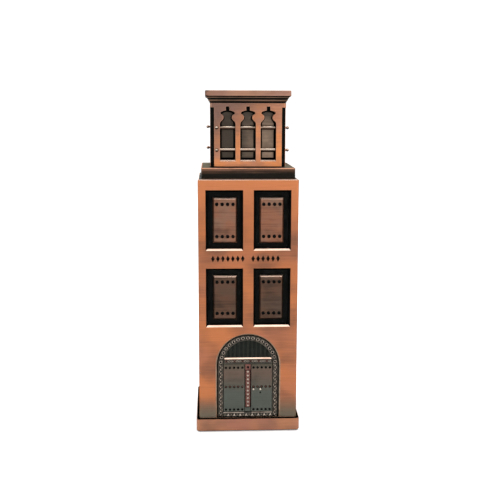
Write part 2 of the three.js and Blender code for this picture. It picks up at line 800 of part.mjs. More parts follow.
add(tower, "door_back", doorBack(), finishes.black);
add(tower, "door_frame", doorFrame(), finishes.gunmetal);
add(tower, "tympanum", tympanum(), finishes.gunmetal);
add(tower, "lintel", lintel(), finishes.gunmetal);
add(tower, "threshold", threshold(), finishes.gunmetal);
add(tower, "door_leaf_left", doorLeaf(-1), finishes.gunmetal);
add(tower, "door_leaf_right", doorLeaf(1), finishes.gunmetal);
add(tower, "astragal", astragal(), finishes.gunmetal);
add(tower, "door_knob_inner", doorKnob(knobOuts[0]), finishes.rod);
add(tower, "door_knob_outer", doorKnob(knobOuts[1]), finishes.rod);

add(tower, "shoulder", shoulder(), finishes.copper);
add(tower, "spigot", spigot(), finishes.black);
add(tower, "spigot_screw", screw(wall + shoulderHeight + screwGrip), finishes.steel)
  .position.set(0, 0, deckZ - wall - seat);
add(head, "lantern_core", lanternCore(), finishes.core);
add(head, "cornice", cornice(), finishes.copper);
add(head, "roof_plate", roofPlate(), finishes.black);
add(head, "roof_screw", screw(coreTop + roofScrewGrip), finishes.steel)
  .position.set(0, 0, lanternTopZ - coreTop - 2 * seat);

export default model;
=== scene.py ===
# %% [markdown]
# # A miniature tower house in antique copper
# The real object is a small cast-metal souvenir: a square tower with an arched, studded door and
# shuttered windows, and a latticed lantern that lifts off its top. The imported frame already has
# every size and joint, so this lesson is about the looks: crisp cast edges, level brushing, black
# left in the recesses and copper rubbed bright on the corners. Everything starts by loading the
# frame and keeping its box, because no piece may grow past it.

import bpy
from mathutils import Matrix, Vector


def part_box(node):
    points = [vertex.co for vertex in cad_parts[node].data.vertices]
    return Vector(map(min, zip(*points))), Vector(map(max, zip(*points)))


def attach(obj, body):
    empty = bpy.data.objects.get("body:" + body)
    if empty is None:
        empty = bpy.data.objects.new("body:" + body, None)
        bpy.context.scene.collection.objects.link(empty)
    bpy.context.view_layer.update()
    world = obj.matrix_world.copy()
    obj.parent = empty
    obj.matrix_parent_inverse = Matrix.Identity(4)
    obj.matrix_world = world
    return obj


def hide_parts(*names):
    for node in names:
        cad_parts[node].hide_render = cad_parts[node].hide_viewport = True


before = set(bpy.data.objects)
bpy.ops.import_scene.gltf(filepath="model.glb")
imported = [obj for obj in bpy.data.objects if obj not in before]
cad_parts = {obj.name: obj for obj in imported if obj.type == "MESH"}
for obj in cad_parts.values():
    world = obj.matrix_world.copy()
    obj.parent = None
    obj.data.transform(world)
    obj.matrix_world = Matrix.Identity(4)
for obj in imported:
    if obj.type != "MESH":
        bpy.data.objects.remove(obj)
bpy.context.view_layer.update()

# %% [markdown]
# ## Tools of the trade
# bpy is Blender itself, bmesh cleans meshes, and mathutils has vectors and turns. Sizes here are
# written in millimetres, as on a workshop drawing, and MM turns them into Blender's metres. They
# start from the boxes of the frame's nodes, so that every piece fits the one that it stands for.

# %% Tools and the size of the tower
import math

import bmesh
import bpy
from mathutils import Matrix, Vector
from mathutils.geometry import tessellate_polygon

MM = 0.001


def box_mm(node):
    """The lowest and highest corner of a frame node, in millimetres."""
    low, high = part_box(node)
    return low / MM, high / MM


shell_low, shell_high = box_mm("tower_shell")
tower_half = shell_high.x
print(f"tower {2 * tower_half:.1f} mm wide, deck at {shell_high.z:.1f} mm")

# %% [markdown]
# ## Shapes from loops
# Every piece here is made of loops: closed rings of points, joined by bands of quads and closed
# with lids. A window well is a ring on the wall, a ring behind its bevel and a ring on its floor.
# Boolean modifiers could cut the same wells, but loops give clean quads, let each band carry its
# own finish, and never fail on faces that touch.

# %% A mesh made of loops
RUBBED, BLACK, BRIGHT, DULL, DARK = range(5)  # the order of the finishes in every piece


def quarter_turn(point, quarter):
    """A point of the front face carried round to the right, back or left face."""
    c, s = [(1, 0), (0, 1), (-1, 0), (0, -1)][quarter]
    x, y, z = point
    return (c * x - s * y, s * x + c * y, z)


class Casting:
    """Points and faces of one piece, in millimetres, each face with the number of its finish."""

    def __init__(self, quarter=0):
        self.quarter = quarter
        self.points = []
        self.faces = []
        self.finishes = []

    def loop(self, points):
        start = len(self.points)
        self.points.extend(quarter_turn(p, self.quarter) for p in points)
        return list(range(start, len(self.points)))

    def upright(self, outline, y):
        """A loop of (x, z) points that stands in the plane y."""
        return self.loop([(x, y, z) for x, z in outline])

    def face(self, corners, finish=RUBBED):
        self.faces.append(tuple(corners))
        self.finishes.append(finish)

    def band(self, first, second, finish=RUBBED, closed=True):
        """A strip of quads between two loops of equal length."""
        for i in range(len(first) if closed else len(first) - 1):
            j = (i + 1) % len(first)
            kind = finish(i) if callable(finish) else finish
            self.face((first[i], first[j], second[j], second[i]), kind)

    def lid(self, outer, holes=(), finish=RUBBED):
        """A flat face inside a loop, with a hole for each further loop."""
        loops = [outer, *holes]
        corners = [i for ring in loops for i in ring]
        flat = [[Vector(self.points[i]) for i in ring] for ring in loops]
        for triangle in tessellate_polygon(flat):
            self.face([corners[i] for i in triangle], finish)

    def steps(self, loop_at, path, finish):
        """Bands along a path of (inset, depth) pairs, given the loop at each pair.

        finish is one finish, or is asked for each depth and side. Returns the end loops."""
        rings = [loop_at(*pair) for pair in path]
        for i in range(len(path) - 1):
            depth = (path[i][1] + path[i + 1][1]) / 2
            kind = (lambda side: finish(depth, side)) if callable(finish) else finish
            self.band(rings[i], rings[i + 1], kind)
        return rings[0], rings[-1]

    def carve(self, outline, y, path, finish=RUBBED):
        """Steps whose loops are the outline, inset, each at its depth behind the plane y."""
        def loop_at(inset_by, depth):
            return self.upright(inset(outline, inset_by), y + depth)

        return self.steps(loop_at, path, finish)

    def mound(self, outline, y, profile, finish=RUBBED, hollow=None):
        """A closed stud on a face, from its (share of the outline, height) profile.

        A stud with a hollow has that finish from the second half of its profile on."""
        middle = sum((Vector(p) for p in outline), Vector((0, 0))) / len(outline)
        inner = finish if hollow is None else hollow
        rings = []
        for share, height in profile:
            shape = [tuple(middle + (Vector(p) - middle) * share) for p in outline]
            rings.append(self.upright(shape, y - height))
        for i, (a, b) in enumerate(zip(rings, rings[1:])):
            self.band(a, b, finish if i < len(profile) / 2 else inner)
        self.lid(rings[0], finish=finish)
        self.lid(rings[-1], finish=inner)

    def piece(self, name, body, finishes, nodes, smooth=40):
        """The finished object, riding on its body and standing for its frame nodes."""
        mesh = bpy.data.meshes.new(name)
        mesh.from_pydata([Vector(p) * MM for p in self.points], [], self.faces)
        for polygon, finish in zip(mesh.polygons, self.finishes):
            polygon.material_index = finish
        work = bmesh.new()
        work.from_mesh(mesh)
        bmesh.ops.remove_doubles(work, verts=work.verts, dist=1e-7)
        bmesh.ops.dissolve_degenerate(work, edges=work.edges, dist=1e-7)
        bmesh.ops.recalc_face_normals(work, faces=work.faces)
        work.to_mesh(mesh)
        work.free()
        mesh.polygons.foreach_set("use_smooth", [True] * len(mesh.polygons))
        mesh.set_sharp_from_angle(angle=math.radians(smooth))
        for finish in finishes:
            mesh.materials.append(finish)
        made = bpy.data.objects.new(name, mesh)
        bpy.context.scene.collection.objects.link(made)
        weighted = made.modifiers.new("even shading", "WEIGHTED_NORMAL")
        weighted.keep_sharp = True
        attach(made, body)
        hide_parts(*nodes)
        return made


print("a casting has loops, bands, lids, steps and mounds")

# %% [markdown]
# ### Outlines and paths
# An outline is a list of (x, z) points on a face. A path is a list of (inset, depth) pairs: how far
# in from the outline, and how far behind the face. Both have small rounded corners in the real
# casting. They could come from curve objects, but short lists of points are easier to measure and
# to change, and a formula gives the round ones.

# %% Outlines
def rectangle(x, z, width, height):
    """Bottom edge first, then right, top and left."""
    w, h = width / 2, height / 2
    return [(x - w, z - h), (x + w, z - h), (x + w, z + h), (x - w, z + h)]


def circle(x, z, radius, count=16):
    turns = [math.tau * i / count for i in range(count)]
    return [(x + radius * math.cos(a), z + radius * math.sin(a)) for a in turns]


def diamond(x, z, half_x, half_z, turn=0.0):
    c, s = math.cos(turn), math.sin(turn)
    tips = [(-half_x, 0), (0, -half_z), (half_x, 0), (0, half_z)]
    return [(x + c * a - s * b, z + s * a + c * b) for a, b in tips]


def curve(start, control, end, count=5):
    """Points along a quadratic curve, without its start."""
    points = []
    for i in range(1, count + 1):
        t = i / count
        points.append(tuple(
            (1 - t) ** 2 * a + 2 * t * (1 - t) * b + t * t * c
            for a, b, c in zip(start, control, end)
        ))
    return points


print("a circle has", len(circle(0, 0, 1)), "points, a diamond", len(diamond(0, 0, 1, 1)))

# %% [markdown]
# ### Soft corners
# eased rounds the corners of a path, and inset draws an outline smaller. Together they make a soft
# edge with only a few faces, where a bevel modifier would also round what should stay flat. The
# rounded square is the level section of everything that stands on the tower's axis.

# %% Soft corners and insets
def eased(path, amount):
    """A path whose inner corners are small curves that begin this far before them."""
    smooth = [path[0]]
    for before, corner, after in zip(path, path[1:], path[2:]):
        here = Vector(corner)
        reach_in = min(amount, (Vector(before) - here).length * 0.45)
        reach_out = min(amount, (Vector(after) - here).length * 0.45)
        start = here + (Vector(before) - here).normalized() * reach_in
        end = here + (Vector(after) - here).normalized() * reach_out
        smooth.append(tuple(start))
        smooth.extend(curve(start, here, end, 2))
    return smooth + [path[-1]]


def inset(outline, distance):
    """An outline drawn counter-clockwise, moved inwards along the bisectors of its corners."""
    moved = []
    count = len(outline)
    for i, point in enumerate(outline):
        here = Vector(point)
        along_in = (here - Vector(outline[i - 1])).normalized()
        along_out = (Vector(outline[(i + 1) % count]) - here).normalized()
        normal_in = Vector((-along_in.y, along_in.x))
        normal_out = Vector((-along_out.y, along_out.x))
        spread = max(0.4, 1 + normal_in.dot(normal_out))
        moved.append(tuple(here + (normal_in + normal_out) * distance / spread))
    return moved


def rounded_square(half, corner, z, count=6):
    """A level ring, counter-clockwise from the right face's back end."""
    corner = max(corner, 0.02)
    inner = half - corner
    ring = []
    for quarter, (sx, sy) in enumerate([(1, 1), (-1, 1), (-1, -1), (1, -1)]):
        for i in range(count + 1):
            a = math.pi / 2 * (quarter + i / count)
            ring.append((sx * inner + corner * math.cos(a), sy * inner + corner * math.sin(a), z))
    return ring


print("corner of a 40 mm square:", len(rounded_square(20, 1, 0)) // 4, "points")

# %% [markdown]
# ## Metal that has been plated, blackened and rubbed
# Antique copper is made in three steps: the casting is plated with copper, dipped so that it turns
# black, and rubbed along one direction until the copper shows again. The rubbing leaves fine level
# streaks, reaches the corners best and never reaches the recesses. Each of these is an effect that
# several materials need, so each is a node group, and every material gives it its own values.

# %% Node helpers
def srgb(code):
    """A colour as a shader socket wants it, from its usual hexadecimal code."""
    values = [int(code[i:i + 2], 16) / 255 for i in (1, 3, 5)]
    linear = [v / 12.92 if v <= 0.04045 else ((v + 0.055) / 1.055) ** 2.4 for v in values]
    return (*linear, 1.0)


class Wiring:
    """Short names for adding and linking nodes in one tree."""

    def __init__(self, tree):
        self.tree = tree

    def node(self, kind, **settings):
        made = self.tree.nodes.new(kind)
        for key, value in settings.items():
            setattr(made, key, value)
        return made

    def feed(self, socket, value):
        if isinstance(value, bpy.types.NodeSocket):
            self.tree.links.new(value, socket)
        else:
            socket.default_value = value

    def math(self, operation, a, b=0.0, clamp=False):
        made = self.node("ShaderNodeMath", operation=operation, use_clamp=clamp)
        self.feed(made.inputs[0], a)
        self.feed(made.inputs[1], b)
        return made.outputs[0]

    def mix(self, amount, a, b):
        """Colour a where amount is 0 and colour b where it is 1."""
        made = self.node("ShaderNodeMix", data_type="RGBA")
        self.feed(made.inputs[0], amount)
        self.feed(made.inputs[6], a)
        self.feed(made.inputs[7], b)
        return made.outputs[2]

    def span(self, value, low, high, to_low=0.0, to_high=1.0):
        """A value carried smoothly from one range to another."""
        made = self.node("ShaderNodeMapRange", interpolation_type="SMOOTHSTEP")
        for socket, number in zip(made.inputs, (value, low, high, to_low, to_high)):
            self.feed(socket, number)
        return made.outputs[0]

    def noise(self, vector, scale, detail=3.0, rough=0.55):
        made = self.node("ShaderNodeTexNoise")
        self.feed(made.inputs["Vector"], vector)
        for name, value in (("Scale", scale), ("Detail", detail), ("Roughness", rough)):
            self.feed(made.inputs[name], value)
        return made.outputs[0]

    def stretch(self, vector, scale):
        made = self.node("ShaderNodeMapping")
        self.feed(made.inputs["Vector"], vector)
        self.feed(made.inputs["Scale"], scale)
        return made.outputs[0]

    def place(self):
        """The point on the piece, in metres, which moves with the piece."""
        return self.node("ShaderNodeTexCoord").outputs["Object"]

    def group(self, shared, **values):
        made = self.node("ShaderNodeGroup", node_tree=shared)
        for name, value in values.items():
            self.feed(made.inputs[name.replace("_", " ")], value)
        return made.outputs


print("mid grey as a socket value:", round(srgb("#808080")[0], 3))

# %% [markdown]
# ### Node groups
# A node group is a small tree of its own, with named sockets, that a material uses like one node.
# Changed once, it changes everywhere. Groups here put out only colours, masks and normals, and
# the shaders stay in the materials, where an export can read them.

# %% A node group with named sockets
def new_group(name, inputs, outputs):
    """A shader node group with named sockets, its wiring, and the sockets at its two ends."""
    tree = bpy.data.node_groups.new(name, "ShaderNodeTree")
    for label, kind, value in inputs:
        socket = tree.interface.new_socket(label, in_out="INPUT", socket_type=kind)
        socket.default_value = value
    for label, kind in outputs:
        tree.interface.new_socket(label, in_out="OUTPUT", socket_type=kind)
    wiring = Wiring(tree)
    start, end = wiring.node("NodeGroupInput"), wiring.node("NodeGroupOutput")
    return tree, wiring, start.outputs, end.inputs


FLOAT, VECTOR = "NodeSocketFloat", "NodeSocketVector"
print("socket kinds:", FLOAT, VECTOR)

# %% [markdown]
# ### Level brushing
# A belt or a stiff brush drawn sideways leaves scratches centimetres long and a tenth of a
# millimetre high. Noise squeezed along the height gives them: one coarse layer for bands that
# read from afar and one fine layer for the hairlines, which also tilts the surface a little.

# %% The brushing group
brushing, w, ins, outs = new_group(
    "level brushing",
    [("Hairline height", FLOAT, 0.12), ("Bump", FLOAT, 0.2)],
    [("Streaks", FLOAT), ("Hairlines", FLOAT), ("Normal", VECTOR)],
)
spot = w.place()
coarse = w.noise(w.stretch(spot, (38, 38, 1500)), 1.0, 4.0)
fine_scale = w.node("ShaderNodeCombineXYZ")
rate = w.math("DIVIDE", 1000.0, ins["Hairline height"])
for axis, number in ((0, 90.0), (1, 90.0), (2, rate)):
    w.feed(fine_scale.inputs[axis], number)
fine = w.noise(w.stretch(spot, fine_scale.outputs[0]), 1.0, 2.0)
w.feed(outs["Streaks"], w.span(coarse, 0.32, 0.7))
w.feed(outs["Hairlines"], w.span(fine, 0.3, 0.7))
bump = w.node("ShaderNodeBump")
w.feed(bump.inputs["Strength"], ins["Bump"])
w.feed(bump.inputs["Distance"], 0.00004)
w.feed(bump.inputs["Height"], fine)
w.feed(outs["Normal"], bump.outputs[0])
print("group made:", brushing.name)

# %% [markdown]
# ### Tarnish
# Hands and air turn the copper brown in soft patches, some millimetres across. A noise with few
# octaves has such soft edges. Only its upper part counts, so that most of the metal stays clean,
# and a shift gives each casting patches of its own.

# %% The tarnish group
tarnish, w, ins, outs = new_group(
    "soft tarnish",
    [("Patch size", FLOAT, 9.0), ("Amount", FLOAT, 0.5), ("Shift", FLOAT, 0.0)],
    [("Patches", FLOAT)],
)
spot = w.stretch(w.place(), (1.0, 1.0, 1.4))
moved = w.node("ShaderNodeVectorMath", operation="ADD")
w.feed(moved.inputs[0], spot)
w.feed(moved.inputs[1], ins["Shift"])
patches = w.noise(moved.outputs[0], w.math("DIVIDE", 1000.0, ins["Patch size"]), 2.0, 0.5)
w.feed(outs["Patches"], w.math("MULTIPLY", w.span(patches, 0.4, 0.72), ins["Amount"]))
print("group made:", tarnish.name)

# %% [markdown]
# ### Recesses and corners
# Ambient occlusion tells how boxed in a point is, which is just where blackening survives the
# rubbing. Looked at from inside the metal, the same measure finds the corners that stick out. It
# could be painted by hand instead, but measured wear follows every piece without more work.

# %% The relief group
relief, w, ins, outs = new_group(
    "recesses and corners",
    [("Recess reach", FLOAT, 1.6), ("Corner reach", FLOAT, 0.5)],
    [("Recess", FLOAT), ("Corner", FLOAT)],
)
around = w.node("ShaderNodeAmbientOcclusion", samples=6)
w.feed(around.inputs["Distance"], w.math("MULTIPLY", ins["Recess reach"], MM))
within = w.node("ShaderNodeAmbientOcclusion", samples=6, inside=True, only_local=True)
w.feed(within.inputs["Distance"], w.math("MULTIPLY", ins["Corner reach"], MM))
w.feed(outs["Recess"], w.span(around.outputs["AO"], 0.9, 0.35))
w.feed(outs["Corner"], w.span(within.outputs["AO"], 0.85, 0.45))
print("group made:", relief.name)

# %% [markdown]
# ## The finishes
# The Principled shader stays in each material, and the groups only tell it where the copper is
# bright, brown or black. Metal takes its colour from its reflections, so the base colours are
# darker and redder than they look in the end.

# %% A material with its shader, and rubbed metal
def new_material(name, metallic, roughness):
    material = bpy.data.materials.new(name)
    material.use_nodes = True
    shader = material.node_tree.nodes["Principled BSDF"]
    shader.inputs["Metallic"].default_value = metallic
    shader.inputs["Roughness"].default_value = roughness
    return material, Wiring(material.node_tree), shader.inputs


def rubbed_metal(name, bright, brown, dark, corner, roughness, patch=9.0, amount=0.7, streak=0.3,
                 rosy=None, fades=(), recess_reach=1.6, shift=0.0, rub=0.8, edge_tint="#ffffff"):
    """Plated, blackened and rubbed metal.

    rosy tints a second set of patches, and edge_tint the reflection at grazing angles. A fade
    (direction, full, none, colour) covers the piece with its colour as far along the direction
    as full, in millimetres, and lets go of it at none."""
    material, w, shader = new_material(name, 1.0, roughness)
    brush = w.group(brushing, Bump=0.35)
    patches = w.group(tarnish, Patch_size=patch, Amount=amount, Shift=shift)["Patches"]
    marks = w.group(relief, Recess_reach=recess_reach)
    lean = w.math("MULTIPLY", w.math("SUBTRACT", brush["Streaks"], 0.5), streak)
    tone = w.math("ADD", patches, lean, clamp=True)
    colour = srgb(bright)
    if rosy:
        blush = w.group(tarnish, Patch_size=patch * 1.4, Amount=0.8, Shift=shift + 0.05)["Patches"]
        colour = w.mix(blush, colour, srgb(rosy))
    colour = w.mix(tone, colour, srgb(brown))
    for direction, full, none, fade_colour in fades:
        along = w.node("ShaderNodeVectorMath", operation="DOT_PRODUCT")
        w.feed(along.inputs[0], w.place())
        w.feed(along.inputs[1], direction)
        spot = w.math("ADD", along.outputs["Value"], w.math("MULTIPLY", lean, 0.006))
        colour = w.mix(w.span(spot, none * MM, full * MM), colour, srgb(fade_colour))
    hair = w.math("MULTIPLY", w.math("SUBTRACT", brush["Hairlines"], 0.45), 0.25, clamp=True)
    colour = w.mix(hair, colour, srgb(dark))
    colour = w.mix(marks["Recess"], colour, srgb(dark))
    rubbed = w.math("MULTIPLY", marks["Corner"], rub)
    w.feed(shader["Base Color"], w.mix(rubbed, colour, srgb(corner)))
    rough = w.math("ADD", w.math("MULTIPLY", tone, 0.12), roughness - 0.04)
    w.feed(shader["Roughness"], w.math("SUBTRACT", rough, w.math("MULTIPLY", rubbed, 0.12)))
    w.feed(shader["Normal"], brush["Normal"])
    shader["Specular Tint"].default_value = srgb(edge_tint)
    return material


print("recipe ready:", rubbed_metal.__name__)

# %% [markdown]
# ### Copper of the tower
# Each finish is given four colours: rubbed bright, browned, blackened, and brightest on corners.
# The tower is brighter and more orange near its top, and greyer at its foot. The shoulder is nearly
# black below a rim that is rubbed bright and carries a painted highlight. A fade is enough for
# this, as the change runs in one direction only.

# %% Copper of the tower and its plinth
INK = "#15110f"
UP, ACROSS, UP_AND_LEFT = (0, 0, 1), (1, 0, 0), (-0.6, 0, 0.8)
copper = rubbed_metal("antique copper", "#aa6944", "#75503f", INK, "#e0ac8c", 0.40, patch=22.0,
                      amount=0.9, rosy="#93604c", rub=0.6, edge_tint="#b98a6c",
                      fades=[(UP, 7.5, 17.5, "#635a4d"), (UP, 118.0, 86.0, "#bc764e")])
plinth_copper = rubbed_metal("plinth copper", "#a27052", "#785848", INK, "#c79a80", 0.40,
                             patch=14.0, shift=0.57, rosy="#946456", rub=0.4)
shoulder_copper = rubbed_metal("shoulder copper", "#6e5040", "#4c3b33", INK, "#a8846c", 0.40,
                               patch=12.0, streak=0.2, shift=0.9, rub=0.5,
                               fades=[(UP, 116.2, 119.4, "#1d1b18")])
# The shoulder's rim is rubbed copper, brightened further by a painted highlight.
shoulder_rim_rub_and_highlight = rubbed_metal("shoulder rim, rubbed with painted highlight", "#c99478", "#8d6450", INK, "#e0b094", 0.36,
                                   patch=5.0, shift=0.6, edge_tint="#b98a6c")
deck_grey = rubbed_metal("greyed shoulder top", "#59544a", "#46423a", "#1f1d1a", "#8d8071", 0.5,
                         patch=8.0, shift=0.35, edge_tint="#b4ae9e")
# This pale copper is a painted highlight on slopes and rims that face up towards the overhead
# light.
painted_highlight_copper = rubbed_metal("pale copper with painted highlight", "#d8b9a6", "#bd987f", "#5a4032", "#e8cdb8", 0.30,
                           patch=5.0, amount=0.4, recess_reach=0.3)
arch_rim_metal = rubbed_metal("worn arch rim", "#a38b77", "#83705f", INK, "#b8a08c", 0.45,
                              patch=5.0, recess_reach=0.2, rub=0.5)

print("tower finishes:", copper.name, plinth_copper.name, shoulder_copper.name, sep=", ")

# %% [markdown]
# ### Copper of the shutters and the head
# The lower shutters are darker than the upper ones, so their finish is the same one, only
# darker. The lattice is the brightest copper on the piece, with a painted shade that dulls it to
# the upper left. The core behind it is bronze with a painted reflection, darker from the right to
# the left and towards its top. Colours that differ this much need materials of their own, while the
# recipe stays the same.

# %% Copper of the shutters and the head
shutter_copper = rubbed_metal("shutter copper", "#855a46", "#5a4136", INK, "#b08a76", 0.42,
                              patch=9.0, streak=0.7, shift=0.12, rosy="#786052", recess_reach=0.7,
                              rub=0.25, edge_tint="#b9a090")
dim_shutter_copper = rubbed_metal("dim shutter copper", "#563f33", "#3d312a", INK, "#806a5c",
                                  0.42, patch=9.0, streak=0.7, shift=0.12, rosy="#4c4038",
                                  recess_reach=0.7, rub=0.25, edge_tint="#a39080")
# The fade up and to the left is a painted shade that dulls the lattice there.
lattice_copper = rubbed_metal("lattice copper", "#d38755", "#a26d52", INK, "#e6b292", 0.38,
                              patch=8.0, amount=0.5, shift=0.31, recess_reach=0.5, rub=0.4,
                              rosy="#ad7e6a", fades=[(UP_AND_LEFT, 122.0, 99.0, "#7c5f54")])
# The fade across is a painted shade on the cornice's left corner.
cornice_copper = rubbed_metal("cornice copper", "#a47c65", "#846354", INK, "#c9a088", 0.40,
                              patch=11.0, shift=0.71, rosy="#95706a", rub=0.4,
                              fades=[(ACROSS, -18.4, -17.3, "#5a453b")])
moulding_copper = rubbed_metal("dull moulding", "#6e5546", "#4f4036", INK, "#a58468", 0.40,
                               patch=9.0, shift=0.2, recess_reach=0.5, rub=0.7)
# The fades are a painted reflection: darker from the right to the left, and towards the top.
core_metal = rubbed_metal("core bronze", "#86705f", "#5f5146", "#0d0d0d", "#8a7a6c", 0.42,
                          patch=6.0, shift=0.4, recess_reach=0.6, rub=0.2,
                          fades=[(ACROSS, -5.5, 8.0, "#191a17"), (UP, 142.5, 136.0, "#232422")])

print("head finishes:", lattice_copper.name, cornice_copper.name, core_metal.name, sep=", ")

# %% [markdown]
# ### Metals of the door
# The door is plated a greenish gunmetal, which warms to brown in a band between the middle and the
# top, and its carving is rubbed pale on a dark ground. The reach of recesses and the patches are
# smaller than on the tower, because the carving is too: an effect has to have the scale of what it
# lies on.

# %% Metals of the door
gunmetal = rubbed_metal("door gunmetal", "#5b4d44", "#474139", "#0f100f", "#7f786b", 0.38,
                        patch=8.0, shift=0.77, recess_reach=0.8, streak=0.2, rub=0.25,
                        fades=[(UP, 16.0, 27.0, "#4b4f49"), (UP, 33.0, 27.0, "#42443c")])
dark_gunmetal = rubbed_metal("dark gunmetal", "#1c1f1c", "#171917", "#080808", "#3a3a35", 0.36,
                             patch=5.0, shift=0.66, recess_reach=0.8, streak=0.15, rub=0.4)
ground_metal = rubbed_metal("carving ground", "#3c3934", "#2c2a27", "#090909", "#6f685e", 0.38,
                            patch=4.0, shift=0.44, recess_reach=0.5, streak=0.15, rub=0.5)
carved_metal = rubbed_metal("carved gunmetal", "#877b70", "#665850", "#1c1917", "#b8aca0", 0.34,
                            patch=4.0, shift=0.21, recess_reach=0.3, streak=0.15, rub=0.5)
pale_carved_metal = rubbed_metal("pale carving", "#b0a294", "#8d7c6e", "#1c1917", "#cdbfb0", 0.34,
                                 patch=4.0, shift=0.5, recess_reach=0.3, streak=0.15, rub=0.4)
red_carved_metal = rubbed_metal("red carved gunmetal", "#694842", "#553834", "#151110", "#8a6e64",
                                0.34, patch=3.0, shift=0.9, recess_reach=0.3, streak=0.15, rub=0.5)
stud_copper = rubbed_metal("rubbed stud", "#5c3830", "#452c26", "#120f0e", "#7f5a4e", 0.38,
                           patch=4.0, recess_reach=0.4, streak=0.15, rub=0.3)
print("door finishes:", gunmetal.name, carved_metal.name, stud_copper.name, sep=", ")

# %% [markdown]
# ### Black, pins, screws and felt
# Where nothing was rubbed, the black stays: a satin black with a trace of mottling. The rods are
# pins with a painted highlight above and a painted shade below, which the direction of the surface
# tells. The felt under the plinth is soft and dark, and its nap is a fine noise with a little
# sheen.

# %% Black, pins, screws and felt
def plain_metal(name, colour, second, roughness, edge_tint="#ffffff"):
    material, w, shader = new_material(name, 1.0, roughness)
    shader["Specular Tint"].default_value = srgb(edge_tint)
    brush = w.group(brushing, Bump=0.2)
    patches = w.group(tarnish, Patch_size=5.0, Amount=0.8)["Patches"]
    w.feed(shader["Base Color"], w.mix(patches, srgb(colour), srgb(second)))
    spread = w.math("MULTIPLY", brush["Hairlines"], 0.12)
    w.feed(shader["Roughness"], w.math("ADD", spread, roughness - 0.06))
    w.feed(shader["Normal"], brush["Normal"])
    return material


black = plain_metal("black oxide", "#101110", "#090a09", 0.38, "#66625a")
screw_steel = plain_metal("screw steel", "#b3b4b5", "#8f9092", 0.33)
knob_metal = plain_metal("polished knobs", "#cdc3b6", "#a89a8c", 0.24)

# The pins are painted light above and dark below by the way their surface faces: a painted
# highlight and shade.
pin_metal, w, shader = new_material("pins lit above, shaded below", 1.0, 0.24)
facing = w.node("ShaderNodeSeparateXYZ")
w.feed(facing.inputs[0], w.node("ShaderNodeNewGeometry").outputs["Normal"])
spots = w.group(tarnish, Patch_size=4.0, Amount=0.6)["Patches"]
above = w.mix(spots, srgb("#d9c6b4"), srgb("#b3927a"))
w.feed(shader["Base Color"], w.mix(w.span(facing.outputs[2], 0.45, -0.25), above, srgb("#3a2a22")))

felt, w, shader = new_material("pressed felt", 0.0, 0.95)
nap = w.noise(w.place(), 2600.0, 4.0, 0.7)
w.feed(shader["Base Color"], w.mix(nap, srgb("#141b17"), srgb("#2f3d34")))
shader["Sheen Weight"].default_value = 0.4
bump = w.node("ShaderNodeBump")
w.feed(bump.inputs["Distance"], 0.0001)
w.feed(bump.inputs["Height"], nap)
w.feed(shader["Normal"], bump.outputs[0])
print("black, pins, screws and felt made")

# %% [markdown]
# ## The hollow tower
# The body is one hollow casting. Each face has four window wells with a sloping rim, and the front
# also has the arched doorway and an engraved band. A well is three rings: its rim on the face, the
# foot of its slope, and its edge inside. A small curve takes the place of every sharp rim, since
# cast and plated metal never ends in a knife edge, and that curve is what catches the light. Only
# the slopes that face up are pale, a painted highlight as from the overhead light.

# %% Sizes that the tower and its windows share
WALL = 2.2
CORNER = 0.9
DECK_ROUND = 0.45
SHUTTER_SIDE, SHUTTER_END = 2.95, 3.35
SHUTTER_SHIFT = 0.25
BAND_RISE = 0.4
FACES = ["front", "right", "back", "left"]
front_y = -tower_half
lining_y = front_y + WALL
foot_z, deck_z = shell_low.z, shell_high.z

shutter_low, shutter_high = box_mm("shutter_front_upper_right")
lower_low, lower_high = box_mm("shutter_front_lower_right")
shutter_size = (shutter_high.x - shutter_low.x, shutter_high.z - shutter_low.z)
window_size = (shutter_size[0] + 2 * SHUTTER_SIDE, shutter_size[1] + 2 * SHUTTER_END)
shutter_x = (shutter_low.x + shutter_high.x) / 2
window_x = shutter_x + SHUTTER_SHIFT
row_heights = {
    "lower": (lower_low.z + lower_high.z) / 2,
    "upper": (shutter_low.z + shutter_high.z) / 2,
}
WINDOW_SLOPE = 0.9
_, frame_high = box_mm("door_frame")
frame_half = frame_high.x
spring_z = frame_high.z - frame_half
DOOR_SLOPE = 1.0
doorway_half = frame_half + 0.1
print(f"windows {window_size[0]:.1f} by {window_size[1]:.1f} mm, arch springs at {spring_z:.1f} mm")

# %% [markdown]
# ### Windows and doorway
# A window well slopes inwards for nearly a millimetre and then goes straight through the wall.
# The doorway does the same round its arch, but its foot stays level with the plinth, so its loops
# are arches of different sizes and not insets of one outline.

# %% Window wells and the doorway
def window_well(casting, x, z):
    """Returns the rim on the face and the edge inside."""
    def finish(depth, side):
        if depth < 0.1:
            return RUBBED
        # The upward slope is painted pale as a highlight; the other slopes are black.
        return BRIGHT if side == 0 and depth < WINDOW_SLOPE + 0.05 else BLACK

    path = [(-0.3, 0), (0, 0), (WINDOW_SLOPE, WINDOW_SLOPE), (WINDOW_SLOPE, WALL)]
    return casting.carve(rectangle(x, z, *window_size), front_y, eased(path, 0.13), finish)


def arch(half, steps=44):
    """The doorway's outline: foot, jambs and half round. The foot stays where it is."""
    turn = [math.pi * i / steps for i in range(steps + 1)]
    round_part = [(half * math.cos(a), spring_z + half * math.sin(a)) for a in turn]
    return [(-half, foot_z + 0.05), (half, foot_z + 0.05), *round_part]


